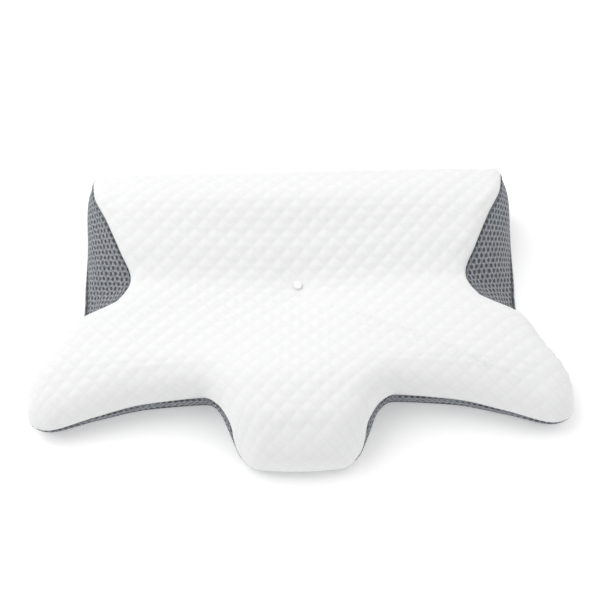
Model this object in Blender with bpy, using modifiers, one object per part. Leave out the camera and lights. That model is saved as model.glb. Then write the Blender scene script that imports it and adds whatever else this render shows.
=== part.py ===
"""Butterfly-shaped contour bed pillow: a moulded foam core in a thin liner, inside a zipped cover.

The cover is a quilted top panel, a mesh gusset on each side and a mesh bottom panel. The top panel runs
over the back edge and over the end of the neck tongue, and a zipper low in the back wall closes it.

Units are metres and +Z is up. The back wall faces +Y and the neck tongue points towards -Y. The origin lies
on the floor, under the middle of the overall box. Run it with: blender --background --python part.py
"""

import math
from dataclasses import dataclass

import bmesh
import bpy
import numpy as np
from mathutils import Vector
from mathutils.bvhtree import BVHTree
from mathutils.geometry import delaunay_2d_cdt

# Plan of the pillow.
SPAN = 0.620  # from wing tip to wing tip
DEPTH = 0.358  # from the end of the tongue to the back wall
TONGUE_REACH = 0.008316  # how far the tongue's end stands out past that depth
BACK_WIDTH = 0.536  # across the base at the back corners
BACK_RIM_WIDTH = 0.484  # across the top at the back corners
WAIST_WIDTH = 0.378  # across the top where the waist is narrowest
WAIST_BASE_WIDTH = 0.534  # across the base under the waist
NOTCH_SPACING = 0.220  # between the deepest points of the two shoulder notches
TONGUE_WIDTH = 0.144  # across the tongue halfway along it
TONGUE_END_WIDTH = 0.090  # across the straight part of the tongue's end
BACK_ROLL = 0.008  # how far the top of the back wall leans in
CORNER_ROUND = 0.026  # radius of each back corner at the base
RIM_CORNER_ROUND = 0.016  # radius of each back corner at the top

# Heights of the top surface.
BACK_CREST = 0.113  # top of the back bolster
BACK_RIM = 0.104  # top of the back wall
BOWL = 0.062  # lowest part of the head bowl
NECK_CREST = 0.100  # top of the neck ridge
TONGUE_RIM = 0.064  # end of the tongue
WAIST_VALLEY = 0.078  # valley that runs out to the waists
WING_CREST = 0.080  # along the wings
WING_RIM = 0.058  # front edge of the wings
TIP_DROP = 0.014  # how much lower the wing tips are
DIMPLE_DEPTH = 0.004  # hollow at the bottom of the bowl
DIMPLE_RADIUS = 0.018

# Section of the wall.
BASE_ROUND = 0.010  # rounding between the bottom and the wall
GIRTH_SHARE = 0.5  # height of the widest place, as a share of the rim's height
GIRTH_ROUND = 0.012
ROUNDING_LIMITS = ((0.95, 0.40), (0.35, 0.35), (0.60, 0.95))  # most of each leg that a rounding may take

# Cover, liner and core, from the outside in.
COVER_THICKNESS = 0.003
LINER_THICKNESS = 0.001
GAP = 0.0003  # between pieces that touch

# Zipper in the back wall.
ZIP_LENGTH = 0.400  # opening between the ends of the tab pieces
ZIP_ZONE = 0.022  # height of the opening in the cover
ZIP_TAB = 0.012  # length of each end tab
TAPE_THICKNESS = 0.0006
TAPE_RECESS = 0.0010  # outer face of the tape, behind the wall's face
COIL_WIDTH = 0.0023  # one half of the chain
COIL_HEIGHT = 0.0022
CHAIN_SPLIT = 0.0011  # between the two halves, where the slider's bridge runs
SLIDER_LENGTH = 0.0090
SLIDER_WALL = 0.0009
BRIDGE_THICKNESS = 0.0005
PARKING = 0.0010  # between the slider and the end tab when it is shut
ARCH_WIDTH = 0.0016
ARCH_WALL = 0.0008
PIN_RADIUS = 0.0006
PIN_CLEARANCE = 0.0004
PULL_LENGTH = 0.026
PULL_WIDTH = 0.0064
PULL_THICKNESS = 0.0011

# Small pieces.
LABEL_WIDTH = 0.030
LABEL_HEIGHT = 0.030
LABEL_THICKNESS = 0.0006
LABEL_X = -0.160
TACK_RADIUS = 0.005
TACK_HEIGHT = 0.0016
TACK_Y = 0.029158

# Worked out from the sizes above.
PLATE_FRONT = COIL_HEIGHT - TAPE_RECESS + 2 * GAP + SLIDER_WALL  # slider's outer face, in front of the wall
PIN_OFFSET = PLATE_FRONT + PIN_CLEARANCE + PIN_RADIUS  # the pull's axis
ARCH_TOP = PIN_OFFSET + PIN_RADIUS + PIN_CLEARANCE + ARCH_WALL
BACK = (DEPTH + TONGUE_REACH - ARCH_TOP) / 2  # the back wall's face
ZIP_END = ZIP_LENGTH / 2 + ZIP_TAB
ZIP_Z = BASE_ROUND + ZIP_ZONE / 2  # middle of the chain
CHAIN_LENGTH = ZIP_LENGTH - 2 * GAP
SLIDER_X = CHAIN_LENGTH / 2 - PARKING - SLIDER_LENGTH / 2  # the slider when the zipper is shut

# Facets.
BACK_STEPS = (13, 2, 3)  # along the zipper, to the back corner, and halfway round it
FLANK_STEPS = 1  # for each stretch between stations, down the flank
FRONT_STEPS = 2  # for each stretch between stations, along the front
TOP_FACET = 0.025  # spacing of the points over the top
EDGE_SWEEPS = 12  # evening out of the top surface's edge
EDGE_EVENING = 0.00003  # square metres a sweep


@dataclass(frozen=True)
class Station:
    """One place on the right half of the outline."""

    rim: tuple  # top corner of the wall, in plan
    base: tuple  # bottom corner of the wall, in plan
    bulge: float  # how far the girth stands out past the middle of those two
    roll: float  # size of the rounding at the rim
    seam: float  # height of the top seam, as a share of the rim's height


def down(share):
    """Y of a place this share of the depth in front of the back wall."""
    return BACK - share * DEPTH


def between(low, high, share):
    return low + (high - low) * share


def stations():
    """The right half of the outline, from the middle of the back to the end of the tongue."""
    tip = SPAN / 2
    back, back_rim = BACK_WIDTH / 2, BACK_RIM_WIDTH / 2
    waist, waist_base = WAIST_WIDTH / 2, WAIST_BASE_WIDTH / 2
    notch, tongue, end = NOTCH_SPACING / 2, TONGUE_WIDTH / 2, TONGUE_END_WIDTH / 2
    lean = BACK_ROLL / DEPTH

    def wing(share):
        return between(waist_base, tip, share)

    def front(share):
        return between(notch, tip, share)

    def root(share):
        return between(tongue, notch, share)

    def neck(share):
        return between(tongue, end, share)

    def round_corner(turn):
        """Rim and base points this far round the back corner, from 0 at the back to 1 at the side."""
        angle = math.radians(90 * turn)
        points = []
        corners = (back_rim, down(lean), RIM_CORNER_ROUND), (back, down(0.0), CORNER_ROUND)
        for half, rear, radius in corners:
            points.append((half - radius * (1 - math.sin(angle)), rear - radius * (1 - math.cos(angle))))
        return points

    straight = {"bulge": BACK_ROLL / 2, "roll": 0.014, "seam": 0.62}
    flank = {"bulge": 0.004, "roll": 0.012, "seam": 0.92}
    wing_edge = {"bulge": 0.0075, "roll": 0.018}
    point_edge = {"bulge": 0.0075, "roll": 0.015}
    return [
        Station((0.0, down(lean)), (0.0, down(0.0)), **straight),
        Station((ZIP_END, down(lean)), (ZIP_END, down(0.0)), **straight),
        Station(*round_corner(0.0), bulge=BACK_ROLL / 2, roll=0.010, seam=0.70),
        Station(*round_corner(0.5), bulge=0.004, roll=0.008, seam=0.90),
        Station(*round_corner(1.0), bulge=0.004, roll=0.010, seam=0.92),
        Station((back_rim - 0.004, down(0.135)), (back, down(0.135)), **flank),
        Station((between(waist, back_rim, 0.60), down(0.22)), (back, down(0.22)), **flank),
        Station((between(waist, back_rim, 0.25), down(0.32)), (back, down(0.32)), **flank),
        Station((waist, down(0.40)), (waist_base, down(0.41)), **flank),
        Station((waist + 0.014, down(0.475)), (waist_base, down(0.49)), **flank),
        Station((wing(-0.30), down(0.548)), (wing(0.00), down(0.57)), 0.005, 0.014, 0.86),
        Station((wing(0.29), down(0.638)), (wing(0.24), down(0.648)), 0.007, 0.018, 0.55),
        Station((wing(0.74), down(0.714)), (wing(0.63), down(0.722)), seam=0.42, **wing_edge),
        Station((wing(0.92), down(0.776)), (wing(0.80), down(0.776)), seam=0.40, **point_edge),
        Station((wing(0.86), down(0.842)), (wing(0.74), down(0.829)), seam=0.42, **point_edge),
        Station((front(0.875), down(0.868)), (front(0.862), down(0.849)), seam=0.48, **point_edge),
        Station((front(0.610), down(0.833)), (front(0.615), down(0.815)), seam=0.50, **wing_edge),
        Station((front(0.320), down(0.797)), (front(0.325), down(0.781)), seam=0.50, **wing_edge),
        Station((front(-0.005), down(0.785)), (front(-0.012), down(0.769)), seam=0.50, **wing_edge),
        Station((root(0.40), down(0.818)), (root(0.40), down(0.809)), 0.0070, 0.018, 0.56),
        Station((tongue - 0.002, down(0.893)), (tongue + 0.006, down(0.884)), 0.0050, 0.018, 0.62),
        Station((neck(0.50), down(0.976)), (neck(0.38), down(0.966)), 0.0060, 0.015, 0.20),
        Station((end, down(1.0060)), (end, down(0.9910)), seam=0.20, **point_edge),
        Station((0.0, down(1.0145)), (0.0, down(0.9970)), seam=0.26, **wing_edge),
    ]


BACK_CORNER, WING_TIP, TONGUE_CORNER = 3, 14, 21  # station numbers


def smooth_curve(knots, values, wanted, level_ends=True):
    """Values at the wanted places on a smooth curve through the knots that never overshoots them."""
    knots, values = np.asarray(knots, float), np.asarray(values, float)
    step = np.diff(knots)
    slope = np.diff(values) / step
    tangent = np.zeros_like(values)
    rising = slope[:-1] * slope[1:] > 0
    weight_a, weight_b = 2 * step[1:] + step[:-1], step[1:] + 2 * step[:-1]
    safe = np.where(rising, slope[:-1], 1.0), np.where(rising, slope[1:], 1.0)
    mean = (weight_a + weight_b) / (weight_a / safe[0] + weight_b / safe[1])
    tangent[1:-1] = np.where(rising, mean, 0.0)
    if not level_ends:
        tangent[0], tangent[-1] = slope[0], slope[-1]
    span = np.clip(np.searchsorted(knots, wanted, side="right") - 1, 0, len(step) - 1)
    t = np.clip((wanted - knots[span]) / step[span], 0.0, 1.0)
    rise = values[span + 1] - values[span]
    ends = tangent[span] * step[span], tangent[span + 1] * step[span]
    square = t * t * (3 * rise - 2 * ends[0] - ends[1])
    return values[span] + t * ends[0] + square + t**3 * (ends[0] + ends[1] - 2 * rise)


def smooth_step(value):
    value = np.clip(value, 0.0, 1.0)
    return value * value * (3 - 2 * value)


def height(x, y):
    """Height of the top surface over a point of the plan."""
    centre_places = [down(s) for s in (1.0, 0.90, 0.79, 0.62, 0.445, 0.29, 0.14, 0.0)]
    centre_heights = [TONGUE_RIM, between(TONGUE_RIM, NECK_CREST, 0.75), NECK_CREST]
    centre_heights += [between(BOWL, NECK_CREST, 0.45), BOWL]
    centre_heights += [between(BOWL, BACK_CREST, 0.50), BACK_CREST, BACK_RIM]
    side_places = [down(s) for s in (1.0, 0.85, 0.68, 0.43, 0.29, 0.14, 0.0)]
    side_heights = [WING_RIM - 0.004, WING_RIM + 0.006, WING_CREST, WAIST_VALLEY]
    side_heights += [between(WAIST_VALLEY, BACK_CREST, 0.55), BACK_CREST, BACK_RIM]
    centre = smooth_curve(centre_places, centre_heights, y)
    side = smooth_curve(side_places, side_heights, y)
    top = between(centre, side, smooth_step(np.abs(x) / (0.42 * WAIST_BASE_WIDTH)))
    forward = smooth_step((down(0.40) - y) / (0.3 * DEPTH))
    top = top - TIP_DROP * forward * smooth_step((np.abs(x) - 0.3 * SPAN) / (0.2 * SPAN))
    return top - DIMPLE_DEPTH * np.exp(-(x**2 + (y - TACK_Y) ** 2) / DIMPLE_RADIUS**2)


def outline():
    """The stations' values at every sample round the outline, clockwise from the middle of the back."""
    rows = stations()
    values = np.array([[*row.rim, *row.base, row.bulge, row.roll, row.seam] for row in rows])
    middle = (values[:, 0:2] + values[:, 2:4]) / 2
    knots = np.concatenate([[0.0], np.cumsum(np.linalg.norm(np.diff(middle, axis=0), axis=1) ** 0.5)])
    steps = [*BACK_STEPS] + [FLANK_STEPS] * (WING_TIP - BACK_CORNER)
    steps += [FRONT_STEPS] * (len(rows) - 1 - WING_TIP)
    places = [between(knots[i], knots[i + 1], k / n) for i, n in enumerate(steps) for k in range(n)]
    places = np.array([*places, knots[-1]])
    mirror = np.array([-1, 1, -1, 1, 1, 1, 1])
    columns = [smooth_curve(knots, column, places, sign > 0) for column, sign in zip(values.T, mirror)]
    right = np.stack(columns, axis=1)
    left = right[-2:0:-1] * mirror
    numbers = np.cumsum([0, *steps])
    return np.concatenate([right, left]), numbers


def outward(points):
    """Unit normals of a closed plan outline that runs clockwise."""
    along = np.roll(points, -1, axis=0) - np.roll(points, 1, axis=0)
    normal = np.stack([-along[:, 1], along[:, 0]], axis=1)
    return normal / np.linalg.norm(normal, axis=1, keepdims=True)


def evened(ring):
    """A closed ring on the top surface with its tight corners opened out."""
    plan = ring[:, :2]
    for _ in range(EDGE_SWEEPS):
        before, after = np.roll(plan, 1, axis=0), np.roll(plan, -1, axis=0)
        spread = ((plan - before) ** 2 + (plan - after) ** 2).sum(axis=1, keepdims=True) / 2
        share = np.minimum(0.5, EDGE_EVENING / np.maximum(spread, 1e-9))
        plan = plan + ((before + after) / 2 - plan) * share
    return np.array([[x, y, float(height(x, y))] for x, y in plan])


def spread_inside(edge, spacing):
    """Staggered rows of points, mirrored about X = 0, that keep clear of a closed outline."""
    low, high = edge.min(axis=0), edge.max(axis=0)
    rise = spacing * math.sqrt(3) / 2
    found = []
    for row in range(int((high[1] - low[1]) / rise) + 1):
        y = high[1] - rise * (row + 0.5)
        offset = spacing / 2 * (row % 2)
        columns = int(high[0] / spacing) + 1
        xs = [sign * (column * spacing + offset) for column in range(columns) for sign in (1, -1)]
        row_points = [(x, y) for x in dict.fromkeys(xs)]
        found += [place for place in row_points if clear_inside(np.array(place), edge, 0.6 * spacing)]
    return np.array(found)


def clear_inside(point, edge, margin):
    """Whether a point lies inside a closed outline and at least the margin from it."""
    after = np.roll(edge, -1, axis=0)
    leg = after - edge
    share = np.clip(((point - edge) * leg).sum(axis=1) / (leg**2).sum(axis=1), 0.0, 1.0)
    nearest = np.linalg.norm(edge + leg * share[:, None] - point, axis=1).min()
    spans = (edge[:, 1] > point[1]) != (after[:, 1] > point[1])
    crossing = edge[spans, 0] + (point[1] - edge[spans, 1]) * leg[spans, 0] / leg[spans, 1]
    return nearest >= margin and (crossing > point[0]).sum() % 2 == 1


def rounded(points, reaches, limits, steps=4):
    """A polyline with each inner corner rounded, and the first and last point number of each rounding."""
    path, marks = [points[0]], []
    for before, corner, after, reach, shares in zip(points, points[1:], points[2:], reaches, limits):
        legs = before - corner, after - corner
        lengths = [np.linalg.norm(leg) for leg in legs]
        reach = min(reach, shares[0] * lengths[0], shares[1] * lengths[1])
        start, end = (corner + leg / length * reach for leg, length in zip(legs, lengths))
        marks.append((len(path), len(path) + steps))
        for k in range(steps + 1):
            t = k / steps
            path.append((1 - t) ** 2 * start + 2 * t * (1 - t) * corner + t * t * end)
    path.append(points[-1])
    return np.array(path), marks


def section(row, normal):
    """Points of one section of the wall, from the flat bottom to the edge of the top surface.

    They are the end of the bottom, the base rounding, the bottom seam, a line that is the top of the
    zipper's opening at the back, the top seam and the roll over the rim.
    """
    rim, base, (bulge, roll, seam) = row[0:2], row[2:4], row[4:7]
    rim_z = float(height(*rim))
    girth = (rim + base) / 2 + normal * bulge
    inner = rim - normal * roll * 1.2
    corners = [
        [*(base - normal * 1.1 * BASE_ROUND), 0.0],
        [*base, 0.0],
        [*girth, GIRTH_SHARE * rim_z],
        [*rim, rim_z],
        [*inner, float(height(*inner))],
    ]
    path, marks = rounded(np.array(corners), (BASE_ROUND, GIRTH_ROUND, roll), ROUNDING_LIMITS)
    arc = np.concatenate([[0.0], np.cumsum(np.linalg.norm(np.diff(path, axis=0), axis=1))])
    bottom_seam = arc[marks[0][1]]
    top_seam = np.interp(seam * rim_z, path[: marks[2][1], 2], arc[: marks[2][1]])
    at_back = abs(base[0]) <= ZIP_END + GAP and base[1] > 0
    middle = bottom_seam + ZIP_ZONE if at_back else (bottom_seam + top_seam) / 2
    roll = [between(top_seam, arc[-1], share) for share in (0.34, 0.67, 1.0)]
    wanted = [arc[marks[0][0]], arc[sum(marks[0]) // 2], bottom_seam, middle, top_seam, *roll]
    return np.stack([np.interp(wanted, arc, path[:, i]) for i in range(3)], axis=1)


# Rings of the wall, from the flat bottom up.
BOTTOM, BASE_MIDDLE, BOTTOM_SEAM, ZIP_TOP, TOP_SEAM, ROLL_LOW, ROLL_HIGH, EDGE = range(8)


class Form:
    """The pillow's outer surface, as numbered points and faces, with the normal at each point."""

    def __init__(self):
        rows, numbers = outline()
        self.count = len(rows)
        self.numbers = numbers
        normals = outward((rows[:, 0:2] + rows[:, 2:4]) / 2)
        sections = np.array([section(row, normal) for row, normal in zip(rows, normals)])
        self.rings = sections.transpose(1, 0, 2)
        self.rings[EDGE] = evened(self.rings[EDGE])
        self.points = [*self.rings.reshape(-1, 3)]
        self.wall = {}
        for ring in range(BOTTOM, EDGE):
            for i in range(self.count):
                j = (i + 1) % self.count
                low, high = ring * self.count, (ring + 1) * self.count
                self.wall[ring, i] = self.split((low + i, high + i, high + j, low + j))
        self.bottom = tuple(range(self.count))
        self.top = self.top_faces()
        self.points = np.array(self.points)
        self.normals = self.smooth_normals()

    def top_faces(self):
        """Triangles over the top, through points spread evenly inside the edge of the top surface."""
        first = EDGE * self.count
        edge = np.array(self.points[first:])[:, :2]
        inner = spread_inside(edge, TOP_FACET)
        self.points += [np.array([x, y, float(height(x, y))]) for x, y in inner]
        places = [Vector(place) for place in np.concatenate([edge, inner])]
        border = [(i, (i + 1) % self.count) for i in range(self.count)]
        _, _, faces, origins, _, _ = delaunay_2d_cdt(places, border, [], 1, 1e-6)
        # The triangulation turns counterclockwise, which faces up.
        return [tuple(first + origins[corner][0] for corner in face) for face in faces]

    def split(self, corners):
        """Two triangles for four corners, cut along the shorter diagonal, so every layer is cut alike."""
        a, b, c, d = corners
        first, second = self.points[a] - self.points[c], self.points[b] - self.points[d]
        if np.linalg.norm(first) <= np.linalg.norm(second):
            return [(a, b, c), (a, c, d)]
        return [(a, b, d), (b, c, d)]

    def faces(self):
        return [face for pair in self.wall.values() for face in pair] + [*self.top, self.bottom]

    def smooth_normals(self):
        """The normal at each point of the closed surface, with the flat bottom's kept straight down."""
        mesh = bpy.data.meshes.new("form")
        mesh.from_pydata(self.points.tolist(), [], self.faces())
        normals = np.array([vertex.normal[:] for vertex in mesh.vertices])
        bpy.data.meshes.remove(mesh)
        normals[: self.count] = (0.0, 0.0, -1.0)
        return normals

    def solid(self, inset):
        """Points and faces of the closed form, this far inside the outer surface."""
        return self.points - self.normals * inset, self.faces()

    def shell(self, faces, inset, thickness):
        """Points and faces of a closed shell that follows these faces, drawn back at its edges for seams."""
        used = sorted({corner for face in faces for corner in face})
        place = {corner: k for k, corner in enumerate(used)}
        faces = [tuple(place[corner] for corner in face) for face in faces]
        outer, normals = self.points[used].copy(), self.normals[used]
        edges = {(a, b) for face in faces for a, b in zip(face, face[1:] + face[:1])}
        border = [(a, b) for a, b in edges if (b, a) not in edges]
        inward = np.zeros_like(outer)
        for a, b in border:
            along = (outer[b] - outer[a]) / np.linalg.norm(outer[b] - outer[a])
            side = np.cross(normals[a] + normals[b], along)
            side /= np.linalg.norm(side)
            for corner in (a, b):
                inward[corner] += side / (1 + inward[corner] @ side) if inward[corner].any() else side
        for corner in {a for a, _ in border}:
            inward[corner] /= max(1.0, inward[corner] @ inward[corner] * 0.5)
        outer += inward * GAP / 2
        top = outer - normals * inset
        under = outer - normals * (inset + thickness)
        shift = len(used)
        under_faces = [tuple(corner + shift for corner in reversed(face)) for face in faces]
        sides = []
        for a, b in border:
            # Both panels at a seam cut its edge along the same diagonal.
            cut = (b, a, a + shift), (b, a + shift, b + shift)
            other_cut = (b, a, b + shift), (a, a + shift, b + shift)
            sides += cut if b < a else other_cut
        return np.concatenate([top, under]), [*faces, *under_faces, *sides]


def clear_scene():
    for obj in list(bpy.data.objects):
        bpy.data.objects.remove(obj)


def material(name, colour, roughness, metallic=0.0):
    made = bpy.data.materials.new(name)
    made.use_nodes = True
    shader = made.node_tree.nodes["Principled BSDF"]
    shader.inputs["Base Color"].default_value = (*colour, 1.0)
    shader.inputs["Roughness"].default_value = roughness
    shader.inputs["Metallic"].default_value = metallic
    return made


def add_object(name, mesh, finish, group, parent=None, location=(0.0, 0.0, 0.0)):
    obj = bpy.data.objects.new(name, mesh)
    obj.location = location
    obj.parent = parent
    mesh.materials.append(finish)
    group.objects.link(obj)
    return obj


def mesh_of(name, points, faces):
    mesh = bpy.data.meshes.new(name)
    mesh.from_pydata(points.tolist(), [], faces)
    mesh.shade_smooth()
    mesh.set_sharp_from_angle(angle=math.radians(50))
    return mesh


def box_mesh(name, low, high):
    """A box between two corners, in the object's own coordinates."""
    low, high = Vector(low), Vector(high)
    shape = bmesh.new()
    bmesh.ops.create_cube(shape, size=1.0)
    bmesh.ops.scale(shape, vec=high - low, verts=shape.verts)
    bmesh.ops.translate(shape, vec=(low + high) / 2, verts=shape.verts)
    mesh = bpy.data.meshes.new(name)
    shape.to_mesh(mesh)
    shape.free()
    return mesh


def extruded_mesh(name, outline_points, length):
    """A flat outline in Y and Z, extruded to this length along X and centred on X = 0."""
    shape = bmesh.new()
    corners = [shape.verts.new((-length / 2, y, z)) for y, z in outline_points]
    face = shape.faces.new(corners)
    pushed = bmesh.ops.extrude_face_region(shape, geom=[face])
    moved = [item for item in pushed["geom"] if isinstance(item, bmesh.types.BMVert)]
    bmesh.ops.translate(shape, vec=(length, 0.0, 0.0), verts=moved)
    bmesh.ops.recalc_face_normals(shape, faces=shape.faces)
    mesh = bpy.data.meshes.new(name)
    shape.to_mesh(mesh)
    shape.free()
    return mesh


def cylinder_mesh(name, radius, depth, segments):
    """A closed cylinder along Z, centred on the object's origin."""
    shape = bmesh.new()
    bmesh.ops.create_cone(
        shape, cap_ends=True, segments=segments, radius1=radius, radius2=radius, depth=depth
    )
    mesh = bpy.data.meshes.new(name)
    shape.to_mesh(mesh)
    shape.free()
    return mesh


def soften(obj, width, segments=1):
    bevel = obj.modifiers.new("edges", "BEVEL")
    bevel.width = width
    bevel.segments = segments
    return obj


def join(obj, helper):
    """Joins a helper to the object by a Boolean union."""
    union = obj.modifiers.new("join_" + helper.name, "BOOLEAN")
    union.operation = "UNION"
    union.solver = "EXACT"
    union.object = helper


def make_helper(name, mesh, helpers, parent, location=(0.0, 0.0, 0.0)):
    obj = bpy.data.objects.new(name, mesh)
    obj.parent = parent
    obj.location = location
    obj.hide_render = True
    obj.display_type = "WIRE"
    helpers.objects.link(obj)
    return obj


def make_core(form, finish, group):
    inset = COVER_THICKNESS + GAP + LINER_THICKNESS + GAP
    add_object("foam_core", mesh_of("foam_core", *form.solid(inset)), finish, group)


def make_liner(form, finish, group):
    inset = COVER_THICKNESS + GAP
    halves = {"liner_lower": [form.bottom], "liner_upper": [*form.top]}
    for (ring, _), pair in form.wall.items():
        halves["liner_lower" if ring < TOP_SEAM else "liner_upper"] += pair
    for name, faces in halves.items():
        add_object(name, mesh_of(name, *form.shell(faces, inset, LINER_THICKNESS)), finish, group)


def make_cover(form, knit, mesh_fabric, group):
    """The four cover panels. The faces of the wall go to the panels or to the zipper's opening."""
    corner, tongue = form.numbers[BACK_CORNER], form.numbers[TONGUE_CORNER]
    zip_side = form.numbers[1]
    panels = {"top_panel": [*form.top], "bottom_panel": [form.bottom]}
    panels |= {"side_gusset_right": [], "side_gusset_left": []}
    for (ring, i), pair in form.wall.items():
        from_back = min(i, form.count - 1 - i)
        if ring < BOTTOM_SEAM:
            panels["bottom_panel"] += pair
        elif ring >= TOP_SEAM:
            panels["top_panel"] += pair
        elif corner <= from_back < tongue:
            panels["side_gusset_right" if i < form.count / 2 else "side_gusset_left"] += pair
        elif from_back >= zip_side or ring >= ZIP_TOP:
            panels["top_panel"] += pair
    for name, faces in panels.items():
        finish = knit if name == "top_panel" else mesh_fabric
        add_object(name, mesh_of(name, *form.shell(faces, 0.0, COVER_THICKNESS)), finish, group)


def make_zipper_run(tape_finish, coil_finish, mesh_fabric, group):
    """The two tapes, the two halves of the coil and the tabs that close the ends of the opening."""
    tape = (BACK - TAPE_RECESS - TAPE_THICKNESS, BACK - TAPE_RECESS)
    coil = (tape[1] + GAP, tape[1] + GAP + COIL_HEIGHT)
    half_chain = CHAIN_LENGTH / 2
    for name, side in (("upper", 1), ("lower", -1)):
        near = ZIP_Z + side * CHAIN_SPLIT / 2
        tape_far = ZIP_Z + side * (ZIP_ZONE / 2 - GAP)
        coil_far = near + side * COIL_WIDTH
        spans = {"tape": (tape, sorted((near, tape_far))), "coil": (coil, sorted((near, coil_far)))}
        for kind, ((y_low, y_high), (z_low, z_high)) in spans.items():
            full_name = f"zipper_{kind}_{name}"
            mesh = box_mesh(full_name, (-half_chain, y_low, z_low), (half_chain, y_high, z_high))
            made = add_object(full_name, mesh, tape_finish if kind == "tape" else coil_finish, group)
            if kind == "coil":
                soften(made, 0.0007)
    for name, side in (("left", -1), ("right", 1)):
        x_low, x_high = sorted((side * (ZIP_LENGTH / 2), side * (ZIP_END - GAP)))
        z_low, z_high = BASE_ROUND + GAP, BASE_ROUND + ZIP_ZONE - GAP
        low, high = (x_low, BACK - 0.8 * COVER_THICKNESS, z_low), (x_high, BACK + GAP, z_high)
        soften(add_object(f"zipper_end_{name}", box_mesh(name, low, high), mesh_fabric, group), 0.0005)


def slider_outline():
    """Section of the slider across the chain: two plates, the bridge and the outer plate's lips."""
    half = CHAIN_SPLIT / 2 + COIL_WIDTH + GAP + SLIDER_WALL
    inner = TAPE_RECESS + TAPE_THICKNESS + GAP
    plate, web = PLATE_FRONT - SLIDER_WALL, BRIDGE_THICKNESS / 2
    lip = GAP - TAPE_RECESS
    right = [
        (PLATE_FRONT, half),
        (lip, half),
        (lip, half - SLIDER_WALL),
        (plate, half - SLIDER_WALL),
        (plate, web),
        (-inner, web),
        (-inner, half),
        (-inner - SLIDER_WALL, half),
    ]
    return right + [(y, -z) for y, z in reversed(right)]


def make_slider(finish, group, helpers):
    """The slider, on an empty that travels along the chain, and the pull, with its origin on the pin."""
    carriage = bpy.data.objects.new("slider_carriage", None)
    carriage.location = (SLIDER_X, BACK, ZIP_Z)
    group.objects.link(carriage)
    body = extruded_mesh("zipper_slider", slider_outline(), SLIDER_LENGTH)
    slider = add_object("zipper_slider", body, finish, group, carriage)
    reach = PIN_RADIUS + PIN_CLEARANCE * 3
    foot, inside = PLATE_FRONT - SLIDER_WALL / 2, ARCH_TOP - ARCH_WALL
    outer = reach + ARCH_WALL
    legs = [(foot, -outer), (ARCH_TOP, -outer), (ARCH_TOP, outer), (foot, outer)]
    legs += [(foot, reach), (inside, reach), (inside, -reach), (foot, -reach)]
    arch = make_helper("slider_arch", extruded_mesh("arch", legs, ARCH_WIDTH), helpers, carriage)
    arch.rotation_euler = (0.0, math.radians(90), 0.0)
    join(slider, arch)
    make_pull(finish, group, helpers, carriage, outer)


def make_pull(finish, group, helpers, carriage, arch_half):
    """A flat tab with a window that the slider's arch stands in and a pin that runs under the arch."""
    corner = math.hypot(arch_half, ARCH_TOP - PIN_OFFSET)
    window = corner + PIN_CLEARANCE
    arm = ARCH_WIDTH / 2 + PIN_CLEARANCE
    half, thick = PULL_WIDTH / 2, PULL_THICKNESS / 2
    plan = [(0.0, half - 0.0006), (0.0, arm), (-window, arm), (-window, -arm), (0.0, -arm)]
    plan += [(0.0, 0.0006 - half), (-0.004, -half), (0.004 - PULL_LENGTH, -half)]
    plan += [(-PULL_LENGTH, 0.002 - half)]
    plan += [(-PULL_LENGTH, half - 0.002), (0.004 - PULL_LENGTH, half), (-0.004, half)]
    shape = bmesh.new()
    face = shape.faces.new([shape.verts.new((x, -thick, z)) for x, z in plan])
    pushed = bmesh.ops.extrude_face_region(shape, geom=[face])
    moved = [item for item in pushed["geom"] if isinstance(item, bmesh.types.BMVert)]
    bmesh.ops.translate(shape, vec=(0.0, 2 * thick, 0.0), verts=moved)
    bmesh.ops.recalc_face_normals(shape, faces=shape.faces)
    mesh = bpy.data.meshes.new("zipper_pull")
    shape.to_mesh(mesh)
    shape.free()
    pull = add_object("zipper_pull", mesh, finish, group, carriage, (0.0, PIN_OFFSET, 0.0))
    rod = cylinder_mesh("pin", PIN_RADIUS, 2 * half - 0.0012, 12)
    join(pull, make_helper("pull_pin", rod, helpers, pull))


def make_label(finish, group):
    """A satin label that stands up against the back wall from the seam over the zipper."""
    low = (LABEL_X - LABEL_WIDTH / 2, BACK + GAP, BASE_ROUND + ZIP_ZONE + GAP)
    high = (LABEL_X + LABEL_WIDTH / 2, BACK + GAP + LABEL_THICKNESS, low[2] + LABEL_HEIGHT)
    add_object("care_label", box_mesh("care_label", low, high), finish, group)


def make_tack(form, finish, group):
    """A round thread tack that rests on the top panel at the bottom of the bowl."""
    surface = BVHTree.FromPolygons([Vector(point) for point in form.points], form.top)
    seats = []
    for k in range(12):
        angle = math.radians(30 * k)
        over = (TACK_RADIUS * math.cos(angle), TACK_Y + TACK_RADIUS * math.sin(angle), 1.0)
        seats.append(surface.ray_cast(Vector(over), Vector((0.0, 0.0, -1.0)))[0].z)
    mesh = cylinder_mesh("centre_tack", TACK_RADIUS, TACK_HEIGHT, 20)
    place = (0.0, TACK_Y, max(seats) + GAP + TACK_HEIGHT / 2)
    soften(add_object("centre_tack", mesh, finish, group, location=place), TACK_HEIGHT * 0.4, 2)


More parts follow.
